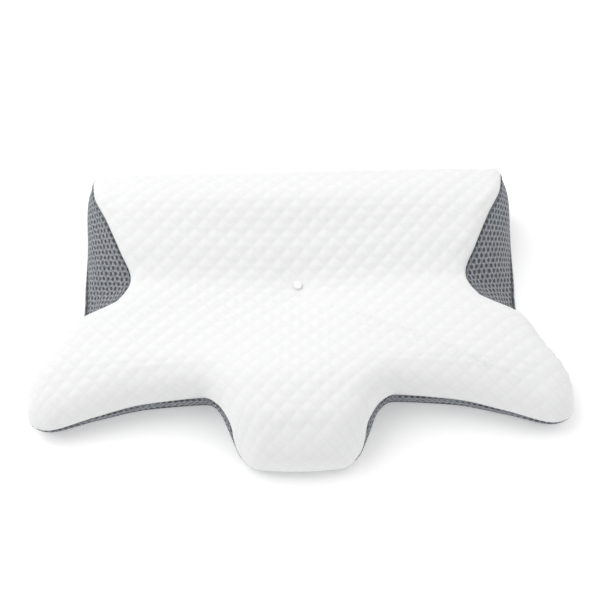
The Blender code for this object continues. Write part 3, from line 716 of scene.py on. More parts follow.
@dataclass
class Shell:
    """A closed layer of cloth over some cells of the skin.

    Attributes:
        skin: the grid that it follows.
        cells: the cells it covers.
        inset: how far its outer face lies inside the form.
        thickness: how thick the layer is.
        fabric: the places that its pattern follows, for each grid point.
        relief: raises the outer face by an amount for each grid point and each point's distance to the seam.
        tuck: how far the outer face turns in at the seams.
        tuck_reach: how far from the seam it starts to turn in.
        shade_reach: how far from the seam the attribute that darkens it reaches.
        settled: a move of the outer face for each grid point.
        settled_reach: how far from the seam that move is whole.
    """

    skin: Skin
    cells: Array
    inset: float
    thickness: float
    fabric: Array
    relief: Optional[Callable[[Array, Array], Array]] = None
    tuck: float = 0.0010
    tuck_reach: float = 0.004
    shade_reach: float = 0.0042
    settled: Optional[Array] = None
    settled_reach: float = 0.012

    def mesh(self, name: str) -> bpy.types.Mesh:
        """Builds the layer, with a map of its fabric.

        Args:
            name: the mesh's name.

        Returns:
            A closed mesh.
        """
        skin = self.skin
        faces = skin.faces(self.cells, True)
        used = np.unique(np.concatenate([np.array(face) for face in faces]))
        place = np.full(len(skin.points), -1)
        place[used] = np.arange(len(used))
        local = [tuple(place[list(face)].tolist()) for face in faces]
        border = self._border(local)
        outer, normals = skin.points[used].copy(), skin.normals[used]
        outer += self._drawn_back(outer, normals, border)
        seam_distance = self._distance_to(outer, border)
        rise = -self.inset - self.tuck * (1 - smooth_step(seam_distance / self.tuck_reach))
        if self.relief is not None:
            rise = rise + self.relief(used, seam_distance)
        top = outer + normals * rise[:, None]
        if self.settled is not None:
            top = top + self.settled[used] * smooth_step(seam_distance / self.settled_reach)[:, None]
        under = outer - normals * (self.inset + self.thickness)
        shift = len(used)
        sides = [(b, a, a + shift, b + shift) for a, b in border]
        flipped = [tuple(corner + shift for corner in reversed(face)) for face in local]
        mesh = bpy.data.meshes.new(name)
        mesh.from_pydata(np.concatenate([top, under]).tolist(), [], [*local, *flipped, *sides])
        self._map_fabric(mesh, np.concatenate([self.fabric[used], self.fabric[used]]))
        # How near each point is to the seam, kept as an attribute that the knit and mesh finishes read to paint shade
        # along the seams.
        near = 1 - smooth_step(seam_distance / self.shade_reach)
        seam = mesh.attributes.new("seam", "FLOAT", "POINT")
        seam.data.foreach_set("value", np.concatenate([near, near]).astype(np.float32))
        return mesh

    def _border(self, faces: list[tuple[int, ...]]) -> list[tuple[int, int]]:
        """The directed edges that only one face has."""
        edges = {(a, b) for face in faces for a, b in zip(face, face[1:] + face[:1])}
        return [(a, b) for a, b in edges if (b, a) not in edges]

    def _drawn_back(self, outer: Array, normals: Array, border: list[tuple[int, int]]) -> Array:
        """Finds the moves that draw the layer's edge back by half a gap.

        Args:
            outer: the points of its outer face.
            normals: their normals.
            border: the directed edges round it.

        Returns:
            A move for each point.
        """
        inward = np.zeros_like(outer)
        for a, b in border:
            along = (outer[b] - outer[a]) / np.linalg.norm(outer[b] - outer[a])
            side = np.cross(normals[a] + normals[b], along)
            side /= np.linalg.norm(side)
            for corner in (a, b):
                inward[corner] += side / (1 + inward[corner] @ side) if inward[corner].any() else side
        return inward * GAP / 2

    def _distance_to(self, outer: Array, border: list[tuple[int, int]]) -> Array:
        """Measures each point's distance to the layer's edge.

        Args:
            outer: the points of its outer face.
            border: the directed edges round it.

        Returns:
            The distances, none over FAR.
        """
        if not border:
            return np.full(len(outer), FAR)
        corners = sorted({corner for edge in border for corner in edge})
        tree = KDTree(len(corners))
        for number, corner in enumerate(corners):
            tree.insert(outer[corner], number)
        tree.balance()
        return np.array([min(FAR, tree.find(point)[2]) for point in outer])

    def _map_fabric(self, mesh: bpy.types.Mesh, places: Array) -> None:
        """Writes the fabric's places to the mesh's map, in metres.

        Args:
            mesh: the layer's mesh.
            places: the place of each of its points.
        """
        layer = mesh.uv_layers.new(name="fabric")
        corners = np.empty(len(mesh.loops), np.int64)
        mesh.loops.foreach_get("vertex_index", corners)
        layer.data.foreach_set("uv", places[corners].astype(np.float32).ravel())


# ---------------------------------------------------------------------------------------------------------
# Finishes
# ---------------------------------------------------------------------------------------------------------


def add_node(tree: bpy.types.NodeTree, kind: str, links: Optional[dict[Any, Any]], settings: dict) -> bpy.types.Node:
    """Adds a node to a tree.

    Args:
        tree: the tree.
        kind: the node's type.
        links: for each input, a socket to link or a value to set.
        settings: the node's own properties.

    Returns:
        The new node.
    """
    made = tree.nodes.new(kind)
    for key, value in settings.items():
        setattr(made, key, value)
    for key, value in (links or {}).items():
        if isinstance(value, Socket):
            tree.links.new(value, made.inputs[key])
        else:
            made.inputs[key].default_value = value
    return made


class NodeSheet:
    """A short way to write a material's nodes."""

    def __init__(self, name: str) -> None:
        """Starts a material with only its shader and output.

        Args:
            name: the material's name.
        """
        self.made = bpy.data.materials.new(name)
        self.made.use_nodes = True
        self.tree = self.made.node_tree
        self.shader = self.tree.nodes["Principled BSDF"]

    def node(self, kind: str, links: Optional[dict[Any, Any]] = None, **settings: Any) -> bpy.types.Node:
        """Adds a node, as add_node does."""
        return add_node(self.tree, kind, links, settings)

    def sum(self, operation: str, *values: Any, clamp: bool = False) -> Socket:
        """The result of one sum on sockets or numbers."""
        made = self.node("ShaderNodeMath", dict(enumerate(values)), operation=operation, use_clamp=clamp)
        return made.outputs[0]

    def vector_sum(self, operation: str, *values: Any, output: str = "Vector") -> Socket:
        """The result of one vector sum."""
        made = self.node("ShaderNodeVectorMath", dict(enumerate(values)), operation=operation)
        return made.outputs[output]

    def ramp(self, value: Socket, low: float, high: float, out_low: float = 0.0, out_high: float = 1.0) -> Socket:
        """Eases a value from one range to another.

        Args:
            value: the socket to read.
            low: value at the start of the step.
            high: value at its end.
            out_low: the result at the start.
            out_high: the result at the end.

        Returns:
            The eased value's socket.
        """
        settings = {"Value": value, "From Min": low, "From Max": high, "To Min": out_low, "To Max": out_high}
        made = self.node("ShaderNodeMapRange", settings, interpolation_type="SMOOTHSTEP")
        return made.outputs["Result"]

    def mix(self, share: Any, first: Any, second: Any) -> Socket:
        """Mixes two colours.

        Args:
            share: how much of the second one is taken, as a socket or a number.
            first: the first colour, as a socket or three numbers.
            second: the second colour.

        Returns:
            The mixed colour's socket.
        """
        made = self.node("ShaderNodeMix", data_type="RGBA")
        for number, value in ((0, share), (6, first), (7, second)):
            if isinstance(value, Socket):
                self.tree.links.new(value, made.inputs[number])
            else:
                made.inputs[number].default_value = value if number == 0 else (*value, 1.0)
        return made.outputs[2]

    def noise(self, place: Socket, scale: float, detail: float = 2.0, rough: float = 0.5) -> Socket:
        """The strength of a noise pattern."""
        links = {"Vector": place, "Scale": scale, "Detail": detail, "Roughness": rough}
        return self.node("ShaderNodeTexNoise", links).outputs[0]

    def fabric(self) -> Socket:
        """Places on the piece's own fabric map."""
        return self.node("ShaderNodeUVMap", uv_map="fabric").outputs["UV"]

    def seam(self) -> Socket:
        """How near the piece's own seam is, from 0 to 1."""
        return self.node("ShaderNodeAttribute", attribute_name="seam").outputs["Fac"]

    def place(self) -> Socket:
        """Places in the piece's own space."""
        return self.node("ShaderNodeTexCoord").outputs["Object"]

    def bump(self, height: Socket, depth: float, strength: float = 1.0, under: Optional[Socket] = None) -> Socket:
        """Bends the surface's normals by a height.

        Args:
            height: the height's socket.
            depth: the size of its steps, in metres.
            strength: how much of it shows.
            under: normals that are already bent.

        Returns:
            The normals' socket.
        """
        links: dict[Any, Any] = {"Height": height, "Distance": depth, "Strength": strength}
        if under is not None:
            links["Normal"] = under
        return self.node("ShaderNodeBump", links).outputs["Normal"]

    def wire(self, **inputs: Any) -> None:
        """Sets or links inputs of the shader, with _ for a space in their names."""
        for key, value in inputs.items():
            socket = self.shader.inputs[key.replace("_", " ")]
            if isinstance(value, Socket):
                self.tree.links.new(value, socket)
            else:
                socket.default_value = value


@dataclass(frozen=True)
class Finish:
    """A finish that pieces wear.

    Attributes:
        name: the material's name.
        slot: the record's material slot that it stands for.
        colour: its main colour, linear.
    """

    name: str
    slot: str
    colour: tuple[float, float, float]

    def material(self) -> bpy.types.Material:
        """Makes the finish's material the first time that it is asked for.

        Returns:
            The material.
        """
        found = bpy.data.materials.get(self.name)
        if found is not None:
            return found
        sheet = NodeSheet(self.name)
        self.dress(sheet)
        return sheet.made

    def tone(self, share: float) -> tuple[float, ...]:
        """The finish's colour, darkened to this share of its light."""
        return tuple(value * share for value in self.colour)

    def dress(self, sheet: NodeSheet) -> None:
        """Builds the finish's nodes on this sheet."""
        raise NotImplementedError


@dataclass(frozen=True)
class QuiltedKnit(Finish):
    """White knit quilted in diamonds, with a fine rib and a soft nap.

    Attributes:
        diamond_width: a diamond's size across the pillow.
        diamond_depth: its size along the pillow.
        rib: spacing of the knit's ribs.
    """

    diamond_width: float = 0.0215
    diamond_depth: float = 0.0200
    rib: float = 0.0011

    def dress(self, sheet: NodeSheet) -> None:
        """Builds quilting creases, a knit rib and a faint painted shade in the creases and along the seams.

        Args:
            sheet: the material to build on.
        """
        place = sheet.fabric()
        parts = sheet.node("ShaderNodeSeparateXYZ", {0: place})
        across = sheet.sum("DIVIDE", parts.outputs[0], self.diamond_width)
        along = sheet.sum("DIVIDE", parts.outputs[1], self.diamond_depth)
        lines = [sheet.sum("PINGPONG", sheet.sum(turn, across, along), 0.5) for turn in ("ADD", "SUBTRACT")]
        crease = sheet.ramp(sheet.sum("MINIMUM", *lines), 0.0, 0.20)
        ribs = 1 / (math.pi * self.rib)
        warp = sheet.node("ShaderNodeTexWave", {"Vector": place, "Scale": ribs, "Distortion": 1.2})
        nap = sheet.noise(place, 2600.0, 3.0)
        uneven = sheet.noise(place, 42.0, 2.0)
        weave = sheet.sum("ADD", sheet.sum("MULTIPLY", warp.outputs[1], 0.6), sheet.sum("MULTIPLY", nap, 0.5))
        normal = sheet.bump(weave, 0.00012, 0.5)
        normal = sheet.bump(crease, 0.0006, 0.20, normal)
        # Painted shade: the creases take a slightly darker tone, by an amount that varies at random.
        tone = self.tone(0.975)
        shade = sheet.sum("MULTIPLY", crease, sheet.ramp(uneven, 0.25, 0.75, 0.88, 1.0))
        # Painted shade: near its seams the knit is darkened towards a much darker tone.
        seam_shade = sheet.sum("MULTIPLY", sheet.seam(), 0.35)
        cloth = sheet.mix(seam_shade, sheet.mix(shade, tone, self.colour), self.tone(0.70))
        sheet.wire(Base_Color=cloth, Normal=normal, Roughness=0.92)
        sheet.wire(Sheen_Weight=0.18, Sheen_Roughness=0.6, Specular_IOR_Level=0.15)


@dataclass(frozen=True)
class AirMesh(Finish):
    """Grey spacer mesh: a pale net over dark round holes.

    Attributes:
        pitch: spacing of the holes along a row.
        hole: radius of a hole.
        dark: colour of what shows through the holes.
    """

    pitch: float = 0.0068
    hole: float = 0.0022
    dark: tuple[float, float, float] = (0.070, 0.076, 0.088)

    def dress(self, sheet: NodeSheet) -> None:
        """Builds staggered rows of oval holes, the looped yarn between them and its uneven light.

        Args:
            sheet: the material to build on.
        """
        place = sheet.fabric()
        drift = sheet.node("ShaderNodeTexNoise", {"Vector": place, "Scale": 90.0, "Detail": 1.0}).outputs[1]
        drift = sheet.vector_sum("SCALE", sheet.vector_sum("SUBTRACT", drift, (0.5, 0.5, 0.5)))
        drift.node.inputs["Scale"].default_value = 0.0022
        moved = sheet.vector_sum("ADD", place, drift)
        cell = (self.pitch, self.pitch * 2.10, 1.0)
        turns = sheet.vector_sum("DIVIDE", moved, cell)
        nearest = []
        for shift in (0.0, 0.5):
            stepped = sheet.vector_sum("ADD", turns, (shift, shift, 0.0))
            part = sheet.vector_sum("SUBTRACT", sheet.vector_sum("FRACTION", stepped), (0.5, 0.5, 0.0))
            sized = sheet.vector_sum("MULTIPLY", part, (cell[0] * 0.88, cell[1] * 0.86, 0.0))
            nearest.append(sheet.vector_sum("LENGTH", sized, output="Value"))
        distance = sheet.sum("MINIMUM", *nearest)
        fibre = sheet.noise(place, 1300.0, 3.0, 0.6)
        ragged = sheet.sum("MULTIPLY_ADD", fibre, 0.0010, sheet.sum("SUBTRACT", distance, 0.0005))
        yarn = sheet.ramp(ragged, self.hole * 0.55, self.hole * 1.25)
        # Painted highlight: a bright ring of yarn round each hole, added to the net's light below.
        from_rim = sheet.sum("ABSOLUTE", sheet.sum("SUBTRACT", distance, self.hole * 1.22))
        rim = sheet.ramp(from_rim, 0.0, 0.0008, 1.0, 0.0)
        strand = sheet.node("ShaderNodeTexWave", {"Vector": moved, "Scale": 88.0, "Distortion": 4.0, "Detail": 2.0})
        strand.bands_direction = "DIAGONAL"
        uneven = sheet.noise(place, 70.0, 3.0)
        loops = sheet.ramp(strand.outputs[1], 0.1, 0.9, 0.30, 1.0)
        lit = sheet.sum("MULTIPLY", sheet.ramp(fibre, 0.3, 0.7, 0.66, 1.0), loops)
        lit = sheet.sum("MULTIPLY", lit, sheet.ramp(uneven, 0.3, 0.7, 0.80, 1.0))
        lit = sheet.sum("MULTIPLY_ADD", rim, 0.45, lit)
        net = sheet.mix(lit, self.tone(0.36), self.colour)
        normal = sheet.bump(fibre, 0.00015, 0.5)
        normal = sheet.bump(sheet.sum("MULTIPLY_ADD", strand.outputs[1], 0.12, yarn), 0.0014, 0.9, normal)
        # Painted shade: near the seams the net is darkened towards the colour of the holes.
        sewn = sheet.mix(sheet.sum("MULTIPLY", sheet.seam(), 0.75), sheet.mix(yarn, self.dark, net), self.dark)
        sheet.wire(Base_Color=sewn, Normal=normal, Roughness=0.80)
        sheet.wire(Sheen_Weight=0.10, Specular_IOR_Level=0.3)


@dataclass(frozen=True)
class Jersey(Finish):
    """Thin knitted jersey with a fine rib."""

    def dress(self, sheet: NodeSheet) -> None:
        """Builds the rib and its fibres.

        Args:
            sheet: the material to build on.
        """
        place = sheet.fabric()
        rib = sheet.node("ShaderNodeTexWave", {"Vector": place, "Scale": 260.0, "Distortion": 1.0})
        fibre = sheet.noise(place, 1900.0, 2.0)
        ribbed = sheet.ramp(rib.outputs[1], 0.0, 1.0, 0.82, 1.0)
        shade = sheet.sum("MULTIPLY", ribbed, sheet.ramp(fibre, 0.2, 0.8, 0.9, 1.0))
        normal = sheet.bump(sheet.sum("ADD", rib.outputs[1], fibre), 0.0002, 0.6)
        tone = self.tone(0.75)
        sheet.wire(Base_Color=sheet.mix(shade, tone, self.colour), Normal=normal, Roughness=0.9)
        sheet.wire(Specular_IOR_Level=0.2)


@dataclass(frozen=True)
class Foam(Finish):
    """Moulded open-cell foam with small pores and a smooth skin."""

    def dress(self, sheet: NodeSheet) -> None:
        """Builds the pores and the skin's uneven tone.

        Args:
            sheet: the material to build on.
        """
        place = sheet.place()
        pores = sheet.node("ShaderNodeTexVoronoi", {"Vector": place, "Scale": 620.0})
        cells = sheet.ramp(pores.outputs[0], 0.1, 0.5)
        cloud = sheet.noise(place, 18.0, 3.0)
        shade = sheet.sum("MULTIPLY", cells, sheet.ramp(cloud, 0.2, 0.8, 0.8, 1.0))
        tone = self.tone(0.8)
        sheet.wire(Base_Color=sheet.mix(shade, tone, self.colour), Normal=sheet.bump(cells, 0.0003, 0.5))
        sheet.wire(Roughness=0.95, Specular_IOR_Level=0.2)


@dataclass(frozen=True)
class Thread(Finish):
    """Spun sewing thread, twisted along its length."""

    def dress(self, sheet: NodeSheet) -> None:
        """Builds the twist and its fibres.

        Args:
            sheet: the material to build on.
        """
        place = sheet.place()
        twist = sheet.node("ShaderNodeTexWave", {"Vector": place, "Scale": 900.0, "Distortion": 1.5})
        twist.bands_direction = "DIAGONAL"
        fibre = sheet.noise(place, 3000.0, 2.0)
        shade = sheet.sum("ADD", sheet.sum("MULTIPLY", twist.outputs[1], 0.6), sheet.sum("MULTIPLY", fibre, 0.4))
        tone = self.tone(0.86)
        sheet.wire(Base_Color=sheet.mix(shade, tone, self.colour), Normal=sheet.bump(shade, 0.00006, 0.4))
        sheet.wire(Roughness=0.7, Sheen_Weight=0.2)


@dataclass(frozen=True)
class WovenTape(Finish):
    """Zipper tape in a slanted twill."""

    def dress(self, sheet: NodeSheet) -> None:
        """Builds the weave of the tape.

        Args:
            sheet: the material to build on.
        """
        place = sheet.place()
        turn = (0.0, math.radians(32), 0.0)
        turned = sheet.node("ShaderNodeMapping", {"Vector": place, "Rotation": turn}).outputs[0]
        rib = sheet.node("ShaderNodeTexWave", {"Vector": turned, "Scale": 420.0, "Distortion": 0.4})
        fibre = sheet.noise(place, 2200.0, 2.0)
        shade = sheet.sum("MULTIPLY", rib.outputs[1], sheet.ramp(fibre, 0.2, 0.8, 0.75, 1.0))
        tone = self.tone(0.6)
        sheet.wire(Base_Color=sheet.mix(shade, tone, self.colour), Normal=sheet.bump(shade, 0.0002, 0.7))
        sheet.wire(Roughness=0.85, Specular_IOR_Level=0.25)


@dataclass(frozen=True)
class Nylon(Finish):
    """Moulded nylon with a low shine."""

    def dress(self, sheet: NodeSheet) -> None:
        """Builds faint flow marks and an uneven shine.

        Args:
            sheet: the material to build on.
        """
        place = sheet.place()
        flow = sheet.noise(place, 900.0, 2.0)
        tone = self.tone(0.8)
        sheet.wire(Base_Color=sheet.mix(flow, tone, self.colour), Roughness=sheet.ramp(flow, 0.2, 0.8, 0.34, 0.5))
        sheet.wire(Specular_IOR_Level=0.5)


@dataclass(frozen=True)
class CastMetal(Finish):
    """Satin die-cast metal with a light brush and patches of wear."""

    def dress(self, sheet: NodeSheet) -> None:
        """Builds the brushing, its change of shine and the patches of wear.

        Args:
            sheet: the material to build on.
        """
        place = sheet.place()
        stretched = sheet.node("ShaderNodeMapping", {"Vector": place, "Scale": (1.0, 6.0, 9.0)}).outputs[0]
        brush = sheet.noise(stretched, 700.0, 3.0, 0.6)
        worn = sheet.noise(place, 260.0, 2.0)
        tone = self.tone(0.82)
        sheet.wire(Base_Color=sheet.mix(worn, tone, self.colour), Normal=sheet.bump(brush, 0.00005, 0.4))
        sheet.wire(Metallic=1.0, Roughness=sheet.ramp(brush, 0.2, 0.8, 0.26, 0.44))


@dataclass(frozen=True)
class Satin(Finish):
    """Blank satin ribbon with fine crosswise floats."""

    def dress(self, sheet: NodeSheet) -> None:
        """Builds the ribbon's floats.

        Args:
            sheet: the material to build on.
        """
        place = sheet.place()
        floats = sheet.node("ShaderNodeTexWave", {"Vector": place, "Scale": 700.0, "Distortion": 0.8})
        floats.bands_direction = "Z"
        tone = self.tone(0.88)
        sheet.wire(Base_Color=sheet.mix(floats.outputs[1], tone, self.colour))
        sheet.wire(Normal=sheet.bump(floats.outputs[1], 0.00008, 0.5), Roughness=0.38, Sheen_Weight=0.15)


KNIT = QuiltedKnit("quilted_knit_fine", "quilted_knit", (0.855, 0.862, 0.857))
MESH = AirMesh("air_mesh_fine", "air_mesh", (0.36, 0.378, 0.408))
JERSEY = Jersey("liner_jersey_fine", "liner_jersey", (0.80, 0.80, 0.78))
FOAM = Foam("memory_foam_fine", "memory_foam", (0.82, 0.76, 0.62))
WHITE_THREAD = Thread("thread_white", "quilted_knit", (0.95, 0.95, 0.95))
GREY_THREAD = Thread("thread_grey", "air_mesh", (0.20, 0.215, 0.24))
TAPE = WovenTape("zipper_tape_fine", "zipper_tape", (0.10, 0.11, 0.125))
COIL = Nylon("zipper_coil_fine", "zipper_coil", (0.08, 0.085, 0.095))
METAL = CastMetal("slider_metal_fine", "slider_metal", (0.50, 0.51, 0.53))
SATIN = Satin("label_satin_fine", "label_satin", (0.80, 0.80, 0.78))


# ---------------------------------------------------------------------------------------------------------
# Repeated details, made by Geometry Nodes
# ---------------------------------------------------------------------------------------------------------


class NodeTree:
    """A Geometry Nodes tree with named inputs, which ends in realised pieces with one material."""

    def __init__(self, name: str, inputs: Sequence[tuple[str, str, Any]]) -> None:
        """Starts a tree.

        Args:
            name: the tree's name.
            inputs: the name, kind and first value of each input after the geometry.
        """
        self.tree = bpy.data.node_groups.new(name, "GeometryNodeTree")
        face = self.tree.interface
        face.new_socket("Geometry", in_out="INPUT", socket_type="NodeSocketGeometry")
        for label, kind, value in inputs:
            socket = face.new_socket(label, in_out="INPUT", socket_type=kind)
            if value is not None:
                socket.default_value = value
        face.new_socket("Geometry", in_out="OUTPUT", socket_type="NodeSocketGeometry")
        self.source = self.tree.nodes.new("NodeGroupInput")
        self.sink = self.tree.nodes.new("NodeGroupOutput")

    def node(self, kind: str, links: Optional[dict[Any, Any]] = None, **settings: Any) -> bpy.types.Node:
        """Adds a node, as add_node does."""
        return add_node(self.tree, kind, links, settings)

    def finish(self, instances: Socket) -> bpy.types.NodeTree:
        """Ends the tree in Realize Instances and Set Material.

        Args:
            instances: what the tree has made so far.

        Returns:
            The finished tree.
        """
        real = self.node("GeometryNodeRealizeInstances", {0: instances})
        links = {"Geometry": real.outputs[0], "Material": self.source.outputs["Material"]}
        dressed = self.node("GeometryNodeSetMaterial", links)
        self.tree.links.new(dressed.outputs[0], self.sink.inputs[0])
        return self.tree


def stitch_tree() -> bpy.types.NodeTree:
    """Builds the tree that sews a line of stitches along the edges of a mesh.

    Returns:
        The tree, with inputs Spacing, Length, Radius and Material.
    """
    inputs = [
        ("Spacing", "NodeSocketFloat", 0.0032),
        ("Length", "NodeSocketFloat", 0.0024),
        ("Radius", "NodeSocketFloat", 0.00026),
        ("Material", "NodeSocketMaterial", None),
    ]
    book = NodeTree("stitch_line", inputs)
    source = book.source.outputs
    line = book.node("GeometryNodeMeshToCurve", {0: source["Geometry"]})
    links = {"Curve": line.outputs[0], "Length": source["Spacing"]}
    places = book.node("GeometryNodeCurveToPoints", links, mode="LENGTH")
    bead = book.node("GeometryNodeMeshIcoSphere", {"Radius": 1.0, "Subdivisions": 2})
    half = book.node("ShaderNodeMath", {0: source["Length"], 1: 0.5}, operation="MULTIPLY")
    size = book.node("ShaderNodeCombineXYZ", {0: source["Radius"], 1: source["Radius"], 2: half.outputs[0]})
    shaped = book.node("GeometryNodeTransform", {"Geometry": bead.outputs[0], "Scale": size.outputs[0]})
    links = {"Points": places.outputs["Points"], "Instance": shaped.outputs[0], "Rotation": places.outputs["Rotation"]}
    return book.finish(book.node("GeometryNodeInstanceOnPoints", links).outputs[0])


def coil_tree() -> bpy.types.NodeTree:
    """Builds the tree that winds rings of nylon along the edges of a mesh.

    Returns:
        The tree, with inputs Pitch, Width, Height, Wire, Lean and Material.
    """
    inputs = [
        ("Pitch", "NodeSocketFloat", 0.0015),
        ("Width", "NodeSocketFloat", 0.0022),
        ("Height", "NodeSocketFloat", 0.0020),
        ("Wire", "NodeSocketFloat", 0.0003),
        ("Lean", "NodeSocketFloat", 0.25),
        ("Material", "NodeSocketMaterial", None),
    ]
    book = NodeTree("coil_row", inputs)
    source = book.source.outputs
    line = book.node("GeometryNodeMeshToCurve", {0: source["Geometry"]})
    links = {"Curve": line.outputs[0], "Length": source["Pitch"]}
    places = book.node("GeometryNodeCurveToPoints", links, mode="LENGTH")
    ring = book.node("GeometryNodeCurvePrimitiveCircle", {"Resolution": 10, "Radius": 0.5})
    lengths = []
    for side in ("Width", "Height"):
        twice = book.node("ShaderNodeMath", {0: source["Wire"], 1: -2.0, 2: source[side]}, operation="MULTIPLY_ADD")
        lengths.append(twice.outputs[0])
    size = book.node("ShaderNodeCombineXYZ", {0: lengths[0], 1: lengths[1], 2: 1.0})
    lean = book.node("ShaderNodeCombineXYZ", {1: source["Lean"]})
    links = {"Geometry": ring.outputs[0], "Scale": size.outputs[0], "Rotation": lean.outputs[0]}
    oval = book.node("GeometryNodeTransform", links)
    profile = book.node("GeometryNodeCurvePrimitiveCircle", {"Resolution": 5, "Radius": source["Wire"]})
    wire = book.node("GeometryNodeCurveToMesh", {"Curve": oval.outputs[0], "Profile Curve": profile.outputs[0]})
    links = {"Points": places.outputs["Points"], "Instance": wire.outputs[0], "Rotation": places.outputs["Rotation"]}
    return book.finish(book.node("GeometryNodeInstanceOnPoints", links).outputs[0])


def along_line(tree: bpy.types.NodeTree, lines: Sequence[Array], finish: Finish, **sizes: float) -> bpy.types.Mesh:
    """Runs a tree along some open lines.

    Args:
        tree: the tree to run.
        lines: the points of each line.
        finish: the finish of what it makes.
        sizes: values for the tree's named inputs, with _ for a space.

    Returns:
        The result as a plain mesh.
    """
    points = np.concatenate(lines)
    edges, start = [], 0
    for line in lines:
        edges += [(start + k, start + k + 1) for k in range(len(line) - 1)]
        start += len(line)
    path = bpy.data.meshes.new("path")
    path.from_pydata(points.tolist(), edges, [])
    obj = link_object("path", path)
    modifier = obj.modifiers.new("detail", "NODES")
    modifier.node_group = tree
    values = {key.replace("_", " "): value for key, value in sizes.items()}
    values["Material"] = finish.material()
    for item in tree.interface.items_tree:
        if item.in_out == "INPUT" and item.name in values:
            modifier[item.identifier] = values[item.name]
    return baked(obj)


# ---------------------------------------------------------------------------------------------------------
# The settled cover
# ---------------------------------------------------------------------------------------------------------


